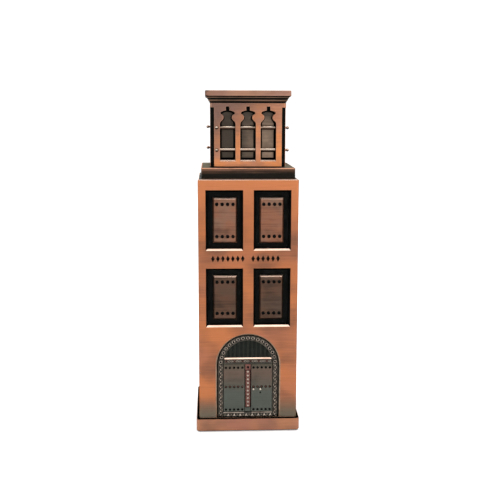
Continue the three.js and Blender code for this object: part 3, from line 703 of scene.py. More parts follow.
def doorway(casting):
    """Its slope is worn to a dull rim in its outer half. Returns the rim and the edge inside."""
    worn = 0.5

    def ring(inset_by, depth):
        return casting.upright(arch(doorway_half + DOOR_SLOPE - inset_by), front_y + depth)

    def finish(depth, side):
        if depth > DOOR_SLOPE + 0.05:
            return BLACK
        return RUBBED if depth < 0.03 else DULL if depth < worn else DARK

    path = [(-0.3, 0), (0, 0), (worn, worn), (DOOR_SLOPE, DOOR_SLOPE), (DOOR_SLOPE, WALL)]
    return casting.steps(ring, eased(path, 0.15), finish)


print("doorway outline:", len(arch(doorway_half)), "points")

# %% [markdown]
# ### The engraved band
# The plain band between the rows of windows carries two groups of engraved diamonds, filled with
# black. Each is a shallow pit that narrows to its floor, as a pointed graver cuts it. A painted
# diamond would look the same from straight ahead, but flat from the side.

# %% Engraved lozenges
LOZENGES = [7, 6]  # in the left and the right group
LOZENGE_PITCH = 2.19
LOZENGE_HALF = (0.72, 1.35)
LOZENGE_GAP = 3.1
LOZENGE_DEPTH = 0.45
BAND_SHIFT = -1.25


def lozenge_places():
    half = LOZENGE_HALF[0]
    spans = [(count - 1) * LOZENGE_PITCH + 2 * half for count in LOZENGES]
    start = BAND_SHIFT - (sum(spans) + LOZENGE_GAP) / 2 + half
    for count, span in zip(LOZENGES, spans):
        yield from (start + i * LOZENGE_PITCH for i in range(count))
        start += span + LOZENGE_GAP


def engraved_lozenge(casting, x, z):
    """A blind diamond that narrows to its floor. Returns its rim."""
    path = eased([(-0.08, 0), (0, 0), (0.16, LOZENGE_DEPTH)], 0.06)
    rim, floor = casting.carve(diamond(x, z, *LOZENGE_HALF), front_y, path, BLACK)
    casting.lid(floor, finish=BLACK)
    return rim


print("lozenges in the band:", len(list(lozenge_places())))

# %% [markdown]
# ### Level rings
# Whatever is square and stands upright, such as the walls, the plinth or a moulding, is a stack of
# level rounded squares. Bands join them from the foot upwards, and a quarter of a circle in small
# steps makes a rounded rim. Each band can have its own finish.

# %% Level rings and rounded rims
def level_rings(casting, places, finishes=RUBBED):
    """Level rounded squares through (half width, height, corner), joined by bands."""
    rings = [casting.loop(rounded_square(half, corner, z)) for half, z, corner in places]
    for i, (a, b) in enumerate(zip(rings, rings[1:])):
        casting.band(a, b, finishes[i] if isinstance(finishes, list) else finishes)
    return rings


def rounded_rim(half, top, radius, corner, steps=4):
    """Rings that turn an upright side into a level top."""
    rings = []
    for i in range(steps + 1):
        a = math.pi / 2 * i / steps
        in_by = radius * (1 - math.cos(a))
        rings.append((half - in_by, top - radius + radius * math.sin(a), max(0.1, corner - in_by)))
    return rings


print("rings in a rim:", len(rounded_rim(tower_half, deck_z, DECK_ROUND, CORNER)))

# %% [markdown]
# ### The tower itself
# The outside and the inside are each two level rings. Between them stand one flat face for each
# side and the narrow facets of the rounded corners. The flat faces take the wells as holes, and
# the rounded rim of the deck closes the top. Its upper edge is painted pale as a highlight.

# %% The hollow casting
def cast_tower():
    tower = Casting()
    inner = tower_half - WALL
    rim = rounded_rim(tower_half, deck_z, DECK_ROUND, CORNER)

    def ring(half, z, corner):
        return tower.loop(rounded_square(half, corner, z))

    outside = [ring(tower_half, foot_z, CORNER), ring(*rim[0])]
    inside = [ring(inner, foot_z, 0.3), ring(inner, deck_z - WALL, 0.3)]
    band_z = sum(row_heights.values()) / 2 + BAND_RISE
    per_corner = len(outside[0]) // 4
    for corner, quarter in enumerate([2, 3, 0, 1]):
        tower.quarter = quarter
        wells = [window_well(tower, x, z) for x in (-window_x, window_x)
                 for z in row_heights.values()]
        rims, edges = [well[0] for well in wells], [well[1] for well in wells]
        if quarter == 0:
            rim_loop, edge_loop = doorway(tower)
            rims += [rim_loop, *(engraved_lozenge(tower, x, band_z) for x in lozenge_places())]
            edges.append(edge_loop)
        for (low, high), holes, finish in ((outside, rims, RUBBED), (inside, edges, BLACK)):
            start = corner * per_corner
            for a in range(start, start + per_corner - 1):
                tower.face((low[a], low[a + 1], high[a + 1], high[a]), finish)
            a, b = start + per_corner - 1, (start + per_corner) % len(low)
            tower.lid([low[a], low[b], high[b], high[a]], holes, finish)
    tower.quarter = 0
    tower.band(outside[0], inside[0], BLACK)
    tower.lid(inside[1], finish=BLACK)
    # The deck rim's upper rings are painted pale: a painted highlight.
    deck = level_rings(tower, [*rim, (tower_half - 0.9, deck_z, 0.3)],
                       [RUBBED, BRIGHT, BRIGHT, BRIGHT, BLACK])
    tower.lid(deck[-1], finish=BLACK)
    return tower.piece("cast_tower", "tower",
                       [copper, black, painted_highlight_copper, arch_rim_metal, dark_gunmetal],
                       ["tower_shell"])


tower_piece = cast_tower()
print("tower:", len(tower_piece.data.polygons), "faces")

# %% [markdown]
# ## Shutters
# Every window holds a raised panel with two rows of four drilled dots. The panels were rubbed less
# than the walls, so they stay browner, and the lower ones are darker still. Each hole is real, with
# a softened mouth and a dark floor, and the sloping top edge has the same painted highlight as the
# sills.

# %% Sixteen shutters
SHUTTER_SLOPE = 0.75
SHUTTER_SUNK = 0.75
DOT_RADIUS, DOT_DEPTH = 0.75, 0.7
DOT_SIDE, DOT_END = 1.8, 2.95
DOTS = 4  # in each row


def drilled(casting, x, z, radius, face_y, depth, dome=None):
    """A blind round hole. With a dome, a nail head of that finish stands in it."""
    def ring(shrink, deep):
        return casting.upright(circle(x, z, radius - shrink), face_y + deep)

    path = eased([(-0.07, 0), (0, 0), (0.06, depth)], 0.06)
    mouth, floor = casting.steps(ring, path, BLACK)
    casting.lid(floor, finish=BLACK)
    if dome is not None:
        head = [(1, -0.05), (1, 0.1), (0.85, 0.22), (0.5, 0.33), (0.05, 0.36)]
        casting.mound(circle(x, z, radius * 0.68, 12), face_y + depth, head, dome)
    return mouth


def cast_shutter(name, quarter, x, z, finish_metal):
    panel = Casting(quarter)
    width, height = shutter_size
    face_y = front_y + SHUTTER_SUNK

    def finish(depth, side):
        sloping = SHUTTER_SUNK + 0.04 < depth < SHUTTER_SUNK + SHUTTER_SLOPE
        # The sloping top edge is painted pale as a highlight.
        return BRIGHT if side == 2 and sloping else RUBBED

    path = [(0, WALL), (0, SHUTTER_SUNK + SHUTTER_SLOPE), (SHUTTER_SLOPE, SHUTTER_SUNK),
            (SHUTTER_SLOPE + 0.2, SHUTTER_SUNK)]
    outline = rectangle(x, z, width, height)
    back, face = panel.carve(outline, front_y, eased(path, 0.12), finish)
    panel.lid(back)
    pitch = (width - 2 * DOT_SIDE) / (DOTS - 1)
    holes = [drilled(panel, x + pitch * (i - (DOTS - 1) / 2), z + end * (height / 2 - DOT_END),
                     DOT_RADIUS, face_y, DOT_DEPTH) for i in range(DOTS) for end in (-1, 1)]
    panel.lid(face, holes)
    panel.piece("cast_" + name, "tower",
                [finish_metal, black, painted_highlight_copper], [name])


for quarter, face_name in enumerate(FACES):
    for row_name, z in row_heights.items():
        metal = shutter_copper if row_name == "upper" else dim_shutter_copper
        for side_name, x in (("left", -shutter_x), ("right", shutter_x)):
            cast_shutter(f"shutter_{face_name}_{row_name}_{side_name}", quarter, x, z, metal)

# %% [markdown]
# ## Carving
# The door's surround, lintel, middle bead and sill are carved. At this size a carving is a row of
# small mounds on a flat ground: rings, leaning leaves, diamonds, beads and teeth. Each mound is its
# outline repeated smaller and higher, so one list of shares and heights describes each motif, and
# loops set them out along a line or round the arch. Sculpting them by hand would take hours and
# end in many more faces.

# %% Motifs
RING = [(1, -0.1), (1, 0.1), (0.92, 0.28), (0.76, 0.36), (0.6, 0.28), (0.5, 0.06), (0.05, 0.04)]
DIAMOND = [(1, -0.1), (1, 0.06), (0.55, 0.28), (0.08, 0.38)]
BLUNT_DIAMOND = [*DIAMOND[:-1], (0.08, 0.34)]
BEAD = [(1, -0.1), (0.95, 0.12), (0.7, 0.26), (0.35, 0.33), (0.05, 0.35)]
TOOTH = [(0.96, -0.1), (0.96, 0.05), (0.4, 0.24), (0.05, 0.3)]
ARCH_STEPS = 44


def lower(motif, share):
    """The same motif with this share of its height."""
    return [(width, height * share) for width, height in motif]


print("motifs rise", [max(height for _, height in m) for m in (RING, DIAMOND, BEAD, TOOTH)], "mm")

# %% [markdown]
# ### The surround
# The surround is a channel between two raised rims, bent round the arch. Its section is one list
# of steps from the outer edge to the inner one, and each step is a loop up one jamb, over the
# arch and down the other. Rings fill the channel round the arch, and leaves with beads its jambs.

# %% The carved surround of the door
FRAME_WIDTH = 2.3
FRAME_FACE = 1.2
CHANNEL = 0.78
FRAME_RIMS = [(0, 0), (0, 1.0), (0.14, FRAME_FACE), (0.36, FRAME_FACE), (0.46, CHANNEL),
              (FRAME_WIDTH - 0.46, CHANNEL), (FRAME_WIDTH - 0.36, FRAME_FACE),
              (FRAME_WIDTH - 0.14, FRAME_FACE), (FRAME_WIDTH, 1.0), (FRAME_WIDTH, 0)]
ARCH_RINGS, JAMB_LEAVES = 17, 15


def cast_surround():
    band = Casting()
    jamb_steps = 8
    turn = [math.pi * i / ARCH_STEPS for i in range(ARCH_STEPS + 1)]
    rings = []
    for in_by, out in FRAME_RIMS:
        half = frame_half - in_by
        jamb = [foot_z + (spring_z - foot_z) * i / jamb_steps for i in range(jamb_steps)]
        path = [(half, z) for z in jamb]
        path += [(half * math.cos(a), spring_z + half * math.sin(a)) for a in turn]
        path += [(-half, z) for z in reversed(jamb)]
        rings.append(band.upright(path, lining_y - out))
    for a, b in zip(rings, rings[1:] + rings[:1]):
        band.band(a, b, closed=False)
    for end in (0, -1):
        band.lid([ring[end] for ring in rings])
    middle = frame_half - FRAME_WIDTH / 2
    ground = lining_y - CHANNEL
    for i in range(ARCH_RINGS):
        a = math.pi * (i + 0.5) / ARCH_RINGS
        x, z = middle * math.cos(a), spring_z + middle * math.sin(a)
        band.mound(circle(x, z, 0.8, 18), ground, RING, BRIGHT, BLACK)
    pitch = (spring_z - foot_z) / JAMB_LEAVES
    for i in range(JAMB_LEAVES):
        z = foot_z + pitch * (i + 0.5)
        lean = 0.75 if i % 2 else -0.75
        for x in (-middle, middle):
            band.mound(diamond(x, z, 0.42, 0.95, lean), ground, DIAMOND, BRIGHT)
            for side in (-0.58, 0.58):
                rise = side if i % 2 else -side
                band.mound(circle(x + side, z + rise, 0.26, 8), ground, BEAD, DULL)
    band.piece("carved_surround", "tower",
               [ground_metal, black, carved_metal, pale_carved_metal], ["door_frame"], smooth=35)


cast_surround()
print("carved on the surround:", ARCH_RINGS, "rings and", 2 * JAMB_LEAVES, "leaves")

# %% [markdown]
# ### The panel in the arch
# The half round over the doors is filled with upright flutes, as if made of narrow boards. The
# panel is a row of columns whose fronts follow a wave and whose tops follow the arch. A wave in
# the mesh keeps its shadows when the light or the camera moves, which a drawn stripe doesn't.

# %% Fluted panel in the arch
FLUTES, PER_FLUTE = 11, 6
FLUTE_FACE, FLUTE_DEPTH = 0.68, 0.3


def cast_tympanum():
    low, high = box_mm("tympanum")
    panel = Casting()
    field = frame_half - FRAME_WIDTH - 0.02
    half = min(high.x, math.sqrt(field ** 2 - (low.z - spring_z) ** 2)) - 0.02
    columns = FLUTES * PER_FLUTE
    fronts, tops, backs, back_tops = [], [], [], []
    for i in range(columns + 1):
        x = half * (2 * i / columns - 1)
        share = (i % PER_FLUTE) / PER_FLUTE
        face_y = lining_y - FLUTE_FACE + FLUTE_DEPTH * math.sin(math.pi * share) ** 0.8
        top = spring_z + math.sqrt(max(field ** 2 - x * x, 0.0))
        top = max(top, low.z + 0.02)
        fronts.append((x, face_y, low.z))
        tops.append((x, face_y, top))
        backs.append((x, lining_y, low.z))
        back_tops.append((x, lining_y, top))
    rows = [panel.loop(points) for points in (fronts, tops, back_tops, backs)]
    for a, b in zip(rows, rows[1:] + rows[:1]):
        panel.band(a, b, closed=False)
    for end in (0, -1):
        panel.face([row[end] for row in rows])
    panel.piece("fluted_tympanum", "tower", [dark_gunmetal], ["tympanum"],
                smooth=50)


cast_tympanum()
print("flutes in the arch:", FLUTES)

# %% [markdown]
# ### Lintel
# The lintel is a bar across the arch, so its ends lean with it. Its upper edge slopes and is
# painted as a bright line of highlight, and small flat rings run below. A plain inset would move
# the slope at the ends as well, so the loop is given by a function that only lowers the top.

# %% The carved lintel
LINTEL_RINGS = 17


def box_outline(low, high):
    """The upright front of a box, bottom edge first."""
    return [(low.x, low.z), (high.x, low.z), (high.x, high.z), (low.x, high.z)]


def cast_lintel():
    low, high = box_mm("lintel")
    bar = Casting()
    field = frame_half - FRAME_WIDTH - 0.03
    reach = math.sqrt(field ** 2 - (high.z - spring_z) ** 2)
    outline = [(-field, low.z), (field, low.z), (reach, high.z), (-reach, high.z)]
    slope, face_y = 0.6, low.y + 0.28

    def ring(inset_by, depth):
        points = inset(outline, min(inset_by, 0.12))
        points[2:] = [(x, high.z - inset_by) for x, z in points[2:]]
        return bar.upright(points, face_y + depth)

    def finish(depth, side):
        # The upward slope is painted pale as a highlight.
        return BRIGHT if side == 2 and 0.04 < depth < slope else RUBBED

    path = [(0, lining_y - face_y), (0, slope), (slope, 0), (slope + 0.1, 0)]
    back, face = bar.steps(ring, eased(path, 0.06), finish)
    bar.lid(back)
    bar.lid(face)
    pitch = 2 * (high.x - 0.7) / LINTEL_RINGS
    for i in range(LINTEL_RINGS):
        x = pitch * (i - (LINTEL_RINGS - 1) / 2)
        bar.mound(circle(x, low.z + 1.35, 0.52, 14), face_y, lower(RING, 0.75),
                  DULL if i % 3 else DARK, BLACK)
    bar.piece("carved_lintel", "tower",
              [ground_metal, black, painted_highlight_copper, carved_metal, red_carved_metal], ["lintel"],
              smooth=35)


cast_lintel()
print("rings on the lintel:", LINTEL_RINGS)

# %% [markdown]
# ### Sill
# The sill under the leaves has a sloping top edge, paler as a painted highlight, that stops short
# of the middle, where the bead comes down, and a row of teeth, every second one rubbed. A tooth is
# a mound like any other, with a triangle for its outline.

# %% The toothed sill
SILL_TEETH = 16


def cast_door_sill():
    low, high = box_mm("threshold")
    bar = Casting()
    outline = box_outline(low, high)
    slope, ground_y = 0.45, low.y + 0.35
    gap = box_mm("astragal")[1].x + 0.4

    def ring(inset_by, depth):
        (x0, z0), (x1, _), (_, z1), _ = inset(outline, 0.02)
        top = z1 - min(inset_by, slope)
        points = [(x0, z0), (x1, z0), (x1, top), (gap, top), (-gap, top), (x0, top)]
        return bar.upright(points, ground_y + depth)

    def finish(depth, side):
        # The upward slope is painted paler as a highlight.
        return DULL if side in (2, 4) and depth < slope else RUBBED

    back, face = bar.steps(ring, [(0, lining_y - ground_y), (0, slope), (slope, 0)], finish)
    bar.lid(back)
    bar.lid(face)
    pitch = (high.x - low.x - 0.2) / SILL_TEETH
    for i in range(SILL_TEETH):
        x = low.x + 0.1 + pitch * (i + 0.5)
        tooth = [(x - pitch / 2, low.z + 0.15), (x + pitch / 2, low.z + 0.15), (x, high.z - 0.65)]
        bar.mound(tooth, ground_y, TOOTH, DULL if i % 2 else RUBBED)
    bar.piece("carved_door_sill", "tower",
              [ground_metal, black, painted_highlight_copper, carved_metal], ["threshold"], smooth=35)


cast_door_sill()
print("teeth on the sill:", SILL_TEETH)

# %% [markdown]
# ## The studded leaves
# Both leaves are plain plates with three rows of nail heads. Each nail sits in its own small
# countersink, so that a dark ring shows round a rounded head. The heads of the middle row were
# touched by the brush and show copper.

# %% Two leaves
STUD_ROWS = [(1.7, BLACK), (10.7, DULL), (21.45, BLACK)]  # how far below the top, and the finish
STUDS = 5  # in each row
STUD_SIDE, STUD_RADIUS, STUD_DEPTH = 1.1, 0.5, 0.4
KEYHOLE_OUT, KEYHOLE_DROP, KEYHOLE_RADIUS = 4.15, 13.5, 0.35


def cast_leaf(name, keyhole):
    low, high = box_mm(name)
    leaf = Casting()
    face_y = low.y
    path = [(0, lining_y - face_y), (0, 0.12), (0.12, 0), (0.3, 0)]
    back, face = leaf.carve(box_outline(low, high), face_y, eased(path, 0.05))
    leaf.lid(back)
    holes = []
    pitch = (high.x - low.x - 2 * STUD_SIDE) / (STUDS - 1)
    for drop, finish in STUD_ROWS:
        for i in range(STUDS):
            x = low.x + STUD_SIDE + pitch * i
            holes.append(drilled(leaf, x, high.z - drop, STUD_RADIUS, face_y, STUD_DEPTH, finish))
    if keyhole:
        holes.append(drilled(leaf, low.x + KEYHOLE_OUT, high.z - KEYHOLE_DROP, KEYHOLE_RADIUS,
                             face_y, STUD_DEPTH + 0.02))
    leaf.lid(face, holes)
    leaf.piece("cast_" + name, "tower",
               [gunmetal, black, painted_highlight_copper, stud_copper], [name], smooth=35)


cast_leaf("door_leaf_left", keyhole=False)
cast_leaf("door_leaf_right", keyhole=True)
print("studs on each leaf:", STUDS * len(STUD_ROWS))

# %% [markdown]
# ### The bead between the leaves
# Where the leaves meet, a narrow bead covers the joint: a square head with a hole, a reddish strip
# with rubbed diamonds between pairs of beads, and a plain foot. It is three slabs, one above the
# other, with the relief set on the middle one.

# %% The carved bead
BEAD_DIAMONDS = 10


def cast_astragal():
    low, high = box_mm("astragal")
    bead = Casting()
    half = high.x
    head_z = high.z - 2 * half
    toe_z = low.z + 2.05
    ground = low.y + 0.35

    def slab(z0, z1, width, face_y, slope, finish, holes=()):
        outline = [(-width, z0), (width, z0), (width, z1), (-width, z1)]
        path = [(0, lining_y - face_y), (0, slope), (slope, 0), (slope + 0.08, 0)]
        back, face = bead.carve(outline, face_y, eased(path, 0.05), finish)
        bead.lid(back)
        bead.lid(face, [drilled(bead, *hole, face_y, 0.5) for hole in holes], finish)

    slab(head_z + 0.02, high.z, half, low.y, 0.25, DARK, [(0, high.z - half, 0.5)])
    slab(toe_z + 0.02, head_z - 0.02, half - 0.2, ground, 0.3, DARK)
    slab(low.z, toe_z - 0.02, half, lining_y - 0.9, 0.15, RUBBED)
    pitch = (head_z - toe_z) / BEAD_DIAMONDS
    for i in range(BEAD_DIAMONDS):
        z = toe_z + pitch * (i + 0.5)
        bead.mound(diamond(0, z, 0.52, pitch * 0.4), ground, BLUNT_DIAMOND, DULL)
        if i:
            for side in (-0.66, 0.66):
                bead.mound(circle(side, z - pitch / 2, 0.26, 10), ground, lower(BEAD, 0.9), DARK)
    bead.piece("carved_middle_bead", "tower",
               [gunmetal, black, painted_highlight_copper, carved_metal, red_carved_metal], ["astragal"],
               smooth=35)


cast_astragal()
print("diamonds on the bead:", BEAD_DIAMONDS)

# %% [markdown]
# ### Turned pins
# Knobs and rods are turned on a lathe, so each is one profile of radii along its axis, drawn as
# circles. A ball end starts where the neck meets the ball, which a little trigonometry finds, so
# that no face is hidden inside another.

# %% Knobs, and the profile of a ball end
PIN_SIDES = 20


def turned_pin(casting, profile, centre, axis_x):
    """A lathe shape of (radius, way along). It lies along x, or stands out of the front."""
    rings = []
    for radius, along in profile:
        ring = circle(0, 0, max(radius, 0.01), PIN_SIDES)
        x, y, z = centre
        if axis_x:
            rings.append(casting.loop([(x + along, y + a, z + b) for a, b in ring]))
        else:
            rings.append(casting.loop([(x + a, y - along, z + b) for a, b in ring]))
    for a, b in zip(rings, rings[1:]):
        casting.band(a, b)
    casting.lid(rings[0])
    casting.lid(rings[-1])


def ball_end(start, neck_radius, neck, radius, steps=9):
    """Profile of a neck with a ball on it, from the end of a shaft."""
    foot = math.asin(neck_radius / radius)
    middle = start + neck + radius * math.cos(foot)
    turn = [foot + (math.pi - foot) * i / steps for i in range(steps + 1)]
    ball = [(radius * math.sin(a), middle - radius * math.cos(a)) for a in turn]
    return [(neck_radius, start), *ball]


for knob_name in ("door_knob_inner", "door_knob_outer"):
    low, high = box_mm(knob_name)
    knob = Casting()
    radius = (high.x - low.x) / 2
    collar = radius * 0.75
    profile = [(collar, 0), (collar, 0.1), *ball_end(0.12, radius * 0.5, 0.12, radius)]
    place = ((low.x + high.x) / 2, high.y, (low.z + high.z) / 2)
    turned_pin(knob, profile, place, axis_x=False)
    knob.piece("turned_" + knob_name, "tower", [knob_metal], [knob_name],
               smooth=50)
print("door pieces made")

# %% [markdown]
# ## Plinth, felt, shoulder and spigot
# These are stacks of level rounded squares, one above the other: the way a pattern maker turns a
# moulding's profile into a block. The top of the plinth is black, as unrubbed oxide and as a
# painted shade, which draws a dark line under the tower. On the plinth a boss stands up into the
# hollow tower, and the felt lies in a recess below.

# %% Plinth and felt
PLINTH_CORNER, PLINTH_ROUND = 1.6, 0.7
PAD_CORNER, PAD_GAP = 0.8, 0.1
BOSS_HALF = 14.9
plinth_low, plinth_high = box_mm("plinth")
_, pad_high = box_mm("base_pad")


def stack(casting, places, finishes=RUBBED):
    """Level rings with a lid below and a lid above, which take the finishes next to them."""
    rings = level_rings(casting, places, finishes)
    ends = finishes if isinstance(finishes, list) else [finishes]
    casting.lid(rings[0], finish=ends[0])
    casting.lid(rings[-1], finish=ends[-1])


def cast_plinth():
    slab = Casting()
    half, foot, top = plinth_high.x, plinth_low.z, foot_z - 0.1
    recess = pad_high.x + PAD_GAP
    high_rim = rounded_rim(half, top, PLINTH_ROUND, PLINTH_CORNER)
    low_rim = [(out, foot + top - z, corner) for out, z, corner in reversed(high_rim)]
    places = [(recess, pad_high.z + PAD_GAP, PAD_CORNER), (recess, foot, PAD_CORNER),
              *low_rim, *high_rim, (half - PLINTH_ROUND - 0.25, top, 0.6),
              (BOSS_HALF, top, 0.3), (BOSS_HALF, plinth_high.z, 0.3)]
    # The top half of the rim and the top are black: oxide, and a painted shade under the tower.
    stack(slab, places, [BLACK] * 2 + [RUBBED] * 7 + [BLACK] * 5)
    slab.piece("cast_plinth", "tower", [plinth_copper, black], ["plinth"])


def cut_felt():
    pad = Casting()
    half, top = pad_high.x, pad_high.z
    stack(pad, [(half - 0.35, 0, 0.5), (half - 0.1, 0.06, 0.7), (half, 0.25, PAD_CORNER),
                (half, top - 0.1, PAD_CORNER), (half - 0.1, top, 0.7)])
    pad.piece("felt_pad", "tower", [felt], ["base_pad"])


cast_plinth()
cut_felt()
print(f"plinth {2 * plinth_high.x:.1f} mm wide, felt {2 * pad_high.x:.1f} mm")

# %% [markdown]
# ### Shoulder and spigot
# The shoulder is a low block on the deck: its side fades to black downwards, its rim is rubbed
# bright and carries a painted highlight, and its top is grey. The spigot on it is black all over
# and hidden until the head is lifted. Both have the same shape, so one function makes them.

# %% Shoulder and spigot
def cast_block(name, node, finishes, radius):
    low, high = box_mm(node)
    block = Casting()
    rim = rounded_rim(high.x, high.z, radius, CORNER)
    places = [(high.x, low.z, CORNER), *rim, (rim[-1][0] - 0.3, high.z, 0.2)]
    # The rim rings take the third finish: on the shoulder this is rubbed copper with a painted
    # highlight.
    stack(block, places, [RUBBED, *[BRIGHT] * (len(rim) - 1), BLACK])
    block.piece(name, "tower", finishes, [node])
    print(f"{name}: {2 * high.x:.1f} mm wide, {high.z - low.z:.1f} mm high")


cast_block("cast_shoulder", "shoulder",
           [shoulder_copper, deck_grey, shoulder_rim_rub_and_highlight], 0.4)
cast_block("cast_spigot", "spigot", [black] * 3, 0.8)

# %% [markdown]
# ## The lantern head
# Four pierced plates stand round a dark core and meet in mitred corners, each stepped back below
# its frieze so that a black notch runs up the corner. An opening's outline is an ogee: a waist,
# two lobes and a slot. Drawn once as curves, it makes the openings of the plates, and without its
# slot it makes the brushed panes on the core behind them.

# %% The ogee opening
core_low, core_high = box_mm("lantern_core")
lattice_low, lattice_high = box_mm("lattice_front")
lantern_half = -lattice_low.y
lantern_top = lattice_high.z
head_foot = core_low.z
PLATE = 4.2
NOTCH = 1.75
FRIEZE = 1.95
STILE, MULLION = 2.5, 2.1
SILL, SILL_SLOPE = 2.9, 0.55
HEAD_HEIGHT, HEAD_DROP = 7.4, 1.5
panel_half = lantern_half - NOTCH
opening_width = (2 * panel_half - 2 * STILE - 2 * MULLION) / 3
opening_xs = [i * (opening_width + MULLION) for i in (-1, 0, 1)]
sill_z = head_foot + SILL
straight_top = lantern_top - HEAD_DROP - HEAD_HEIGHT


def ogee(x, half, foot, spring, height, slot=True):
    """Foot first, then up the right side and down the left."""
    def at(out, up):
        return (out * half, spring + up * height)

    right = [(half, foot), at(1, 0)]
    start, end = Vector(right[-1]), Vector(at(0.53, 0.36))
    c1, c2 = Vector(at(0.97, 0.16)), Vector(at(0.53, 0.18))
    for i in range(1, 9):
        t = i / 8
        u = 1 - t
        right.append(tuple(u ** 3 * start + 3 * u * u * t * c1 + 3 * u * t * t * c2 + t ** 3 * end))
    for control, corner in ((at(0.53, 0.47), at(0.74, 0.53)), (at(0.92, 0.56), at(0.92, 0.61)),
                            (at(0.92, 0.68), at(0.72, 0.71)), (at(0.5, 0.755), at(0.23, 0.77))):
        right += curve(right[-1], control, corner, 4)
    if slot:
        right.append(at(0.23, 1))
    left = [(-a, b) for a, b in reversed(right)]
    return [(x + a, b) for a, b in [left[-1], *right, *left[:-1]]]


print(f"openings {opening_width:.2f} mm wide, {len(ogee(0, 1, 0, 1, 1))} points each")


# %% [markdown]
# ### Pierced plates
# A plate has a flat face with a finely rounded edge, a frieze that runs on to the corner, and
# slanting ends that meet its neighbours in a mitre. Three ogees are cut through it, each with a
# sloping sill painted pale as a highlight. Everything behind the face stayed black, which makes the
# openings read as deep.

# %% Pierced plates
def cast_lattice(quarter, face_name):
    plate = Casting(quarter)
    frieze_z = lantern_top - FRIEZE
    wide = lantern_half - 0.1
    outline = [(-panel_half, head_foot), (panel_half, head_foot), (panel_half, frieze_z),
               (wide, frieze_z), (wide, lantern_top), (-wide, lantern_top),
               (-wide, frieze_z), (-panel_half, frieze_z)]
    back = lantern_half - PLATE

    face_ring = plate.upright(inset(outline, 0.12), -lantern_half)
    edge_ring = plate.upright(outline, -lantern_half + 0.12)
    seam_ring = plate.loop([(x, -min(abs(x) + 0.1, lantern_half), z) for x, z in outline])
    back_ring = plate.loop([(math.copysign(back - 0.1, x), -back, z) for x, z in outline])
    plate.band(face_ring, edge_ring)
    plate.band(edge_ring, seam_ring, lambda side: BLACK if side in (1, 7) else RUBBED)
    plate.band(seam_ring, back_ring, BLACK)

    rims, edges = [], []
    for x in opening_xs:
        shape = ogee(x, opening_width / 2, sill_z, straight_top, HEAD_HEIGHT)

        def ring(inset_by, depth):
            points = inset(shape, inset_by) if inset_by else list(shape)
            drop = max(0.0, SILL_SLOPE - depth)
            points[:2] = [(a, sill_z - drop) for a, b in points[:2]]
            return plate.upright(points, -lantern_half + depth)

        def finish(depth, side):
            if side == 0:
                # The sloping sill is painted pale as a highlight.
                return BRIGHT if depth < SILL_SLOPE else BLACK
            return RUBBED if depth < 0.14 else BLACK

        path = [(-0.1, 0), (-0.03, 0.03), (0, 0.1), (0, SILL_SLOPE), (0, PLATE)]
        rim, edge = plate.steps(ring, path, finish)
        rims.append(rim)
        edges.append(edge)
    plate.lid(face_ring, rims)
    plate.lid([back_ring[0], back_ring[1], back_ring[4], back_ring[5]], edges, BLACK)
    plate.piece(f"cast_lattice_{face_name}", "head",
                [lattice_copper, black, painted_highlight_copper], [f"lattice_{face_name}"])


for quarter, face_name in enumerate(FACES):
    cast_lattice(quarter, face_name)
print("openings in all:", len(FACES) * len(opening_xs))

# %% [markdown]
# ### Rods
# Two rods run through the mullions of each face, and each comes out of the next face as a small
# ball on a neck, so the balls go round the lantern like the sails of a windmill. They are solid
# pins that really pass through the plates, which keeps their shadows right from every side.

# %% Rods that run through the plates
ROD_RADIUS, ROD_DEPTH = 0.9, 2.85
ROD_NECK, ROD_BALL = 0.45, 0.71
rod_low, rod_high = box_mm("rod_front_lower")
rod_length = lantern_half - rod_low.x


def turn_rod(quarter, name, z):
    rod = Casting(quarter)
    reach = rod_high.x - rod_low.x
    end = [(radius, min(along, reach))
           for radius, along in ball_end(rod_length, ROD_NECK, ROD_NECK, ROD_BALL)]
    shaft = [(ROD_RADIUS - 0.1, 0), (ROD_RADIUS, 0.1), (ROD_RADIUS, rod_length - 0.12),
             (ROD_RADIUS - 0.12, rod_length)]
    turned_pin(rod, shaft + end, (rod_low.x, ROD_DEPTH - lantern_half, z), axis_x=True)
    rod.piece("turned_" + name, "head", [pin_metal], [name], smooth=50)


for quarter, face_name in enumerate(FACES):
    for row_name in ("lower", "upper"):
        low, high = box_mm(f"rod_front_{row_name}")
        turn_rod(quarter, f"rod_{face_name}_{row_name}", (low.z + high.z) / 2)
print(f"rods {rod_length:.1f} mm long in the plates")

# %% [markdown]
# ### The core
# A dark cup stands upside down behind the plates, and its mouth is the spigot's socket. Behind each
# opening it has a raised pane, brushed while the ground round it stayed black. The raised edge
# makes the dark line round the panes, so they look like the glass of a lantern.

# %% The core and its panes
SOCKET_HALF = 9.25
PANE_BORDER = 0.8
PANE = [(1, -0.1), (1, 0.22), (0.97, 0.3)]


def cast_core():
    core = Casting()
    half, top = core_high.x, core_high.z
    stack(core, [(SOCKET_HALF, top - WALL, 0.3), (SOCKET_HALF, head_foot, 0.3),
                 (half, head_foot, 0.2), (half, top, 0.2)], BLACK)
    for quarter in range(len(FACES)):
        core.quarter = quarter
        for x in opening_xs:
            pane = ogee(x, opening_width / 2 - PANE_BORDER, sill_z + PANE_BORDER, straight_top,
                        HEAD_HEIGHT - PANE_BORDER, slot=False)
            core.mound(pane, -half, PANE)
    core.piece("cast_lantern_core", "head", [core_metal, black], ["lantern_core"])


cast_core()
print(f"socket {2 * SOCKET_HALF:.1f} mm wide")

# %% [markdown]
# ### Cornice and roof
# The cornice steps out from the frieze in small mouldings to a tall flat edge. Its section is a
# list of points, out and up from the foot, turned into level rings. The hollows between the
# mouldings keep their black, which is oxide and also a painted shade under the overhang, two of the
# steps are dull, and only the edge is rubbed. Its left corner is darker, a painted shade. A black
# plate closes the roof.

# %% Cornice and roof plate
ROOF_RIM, ROOF_SUNK = 2.6, 1.4


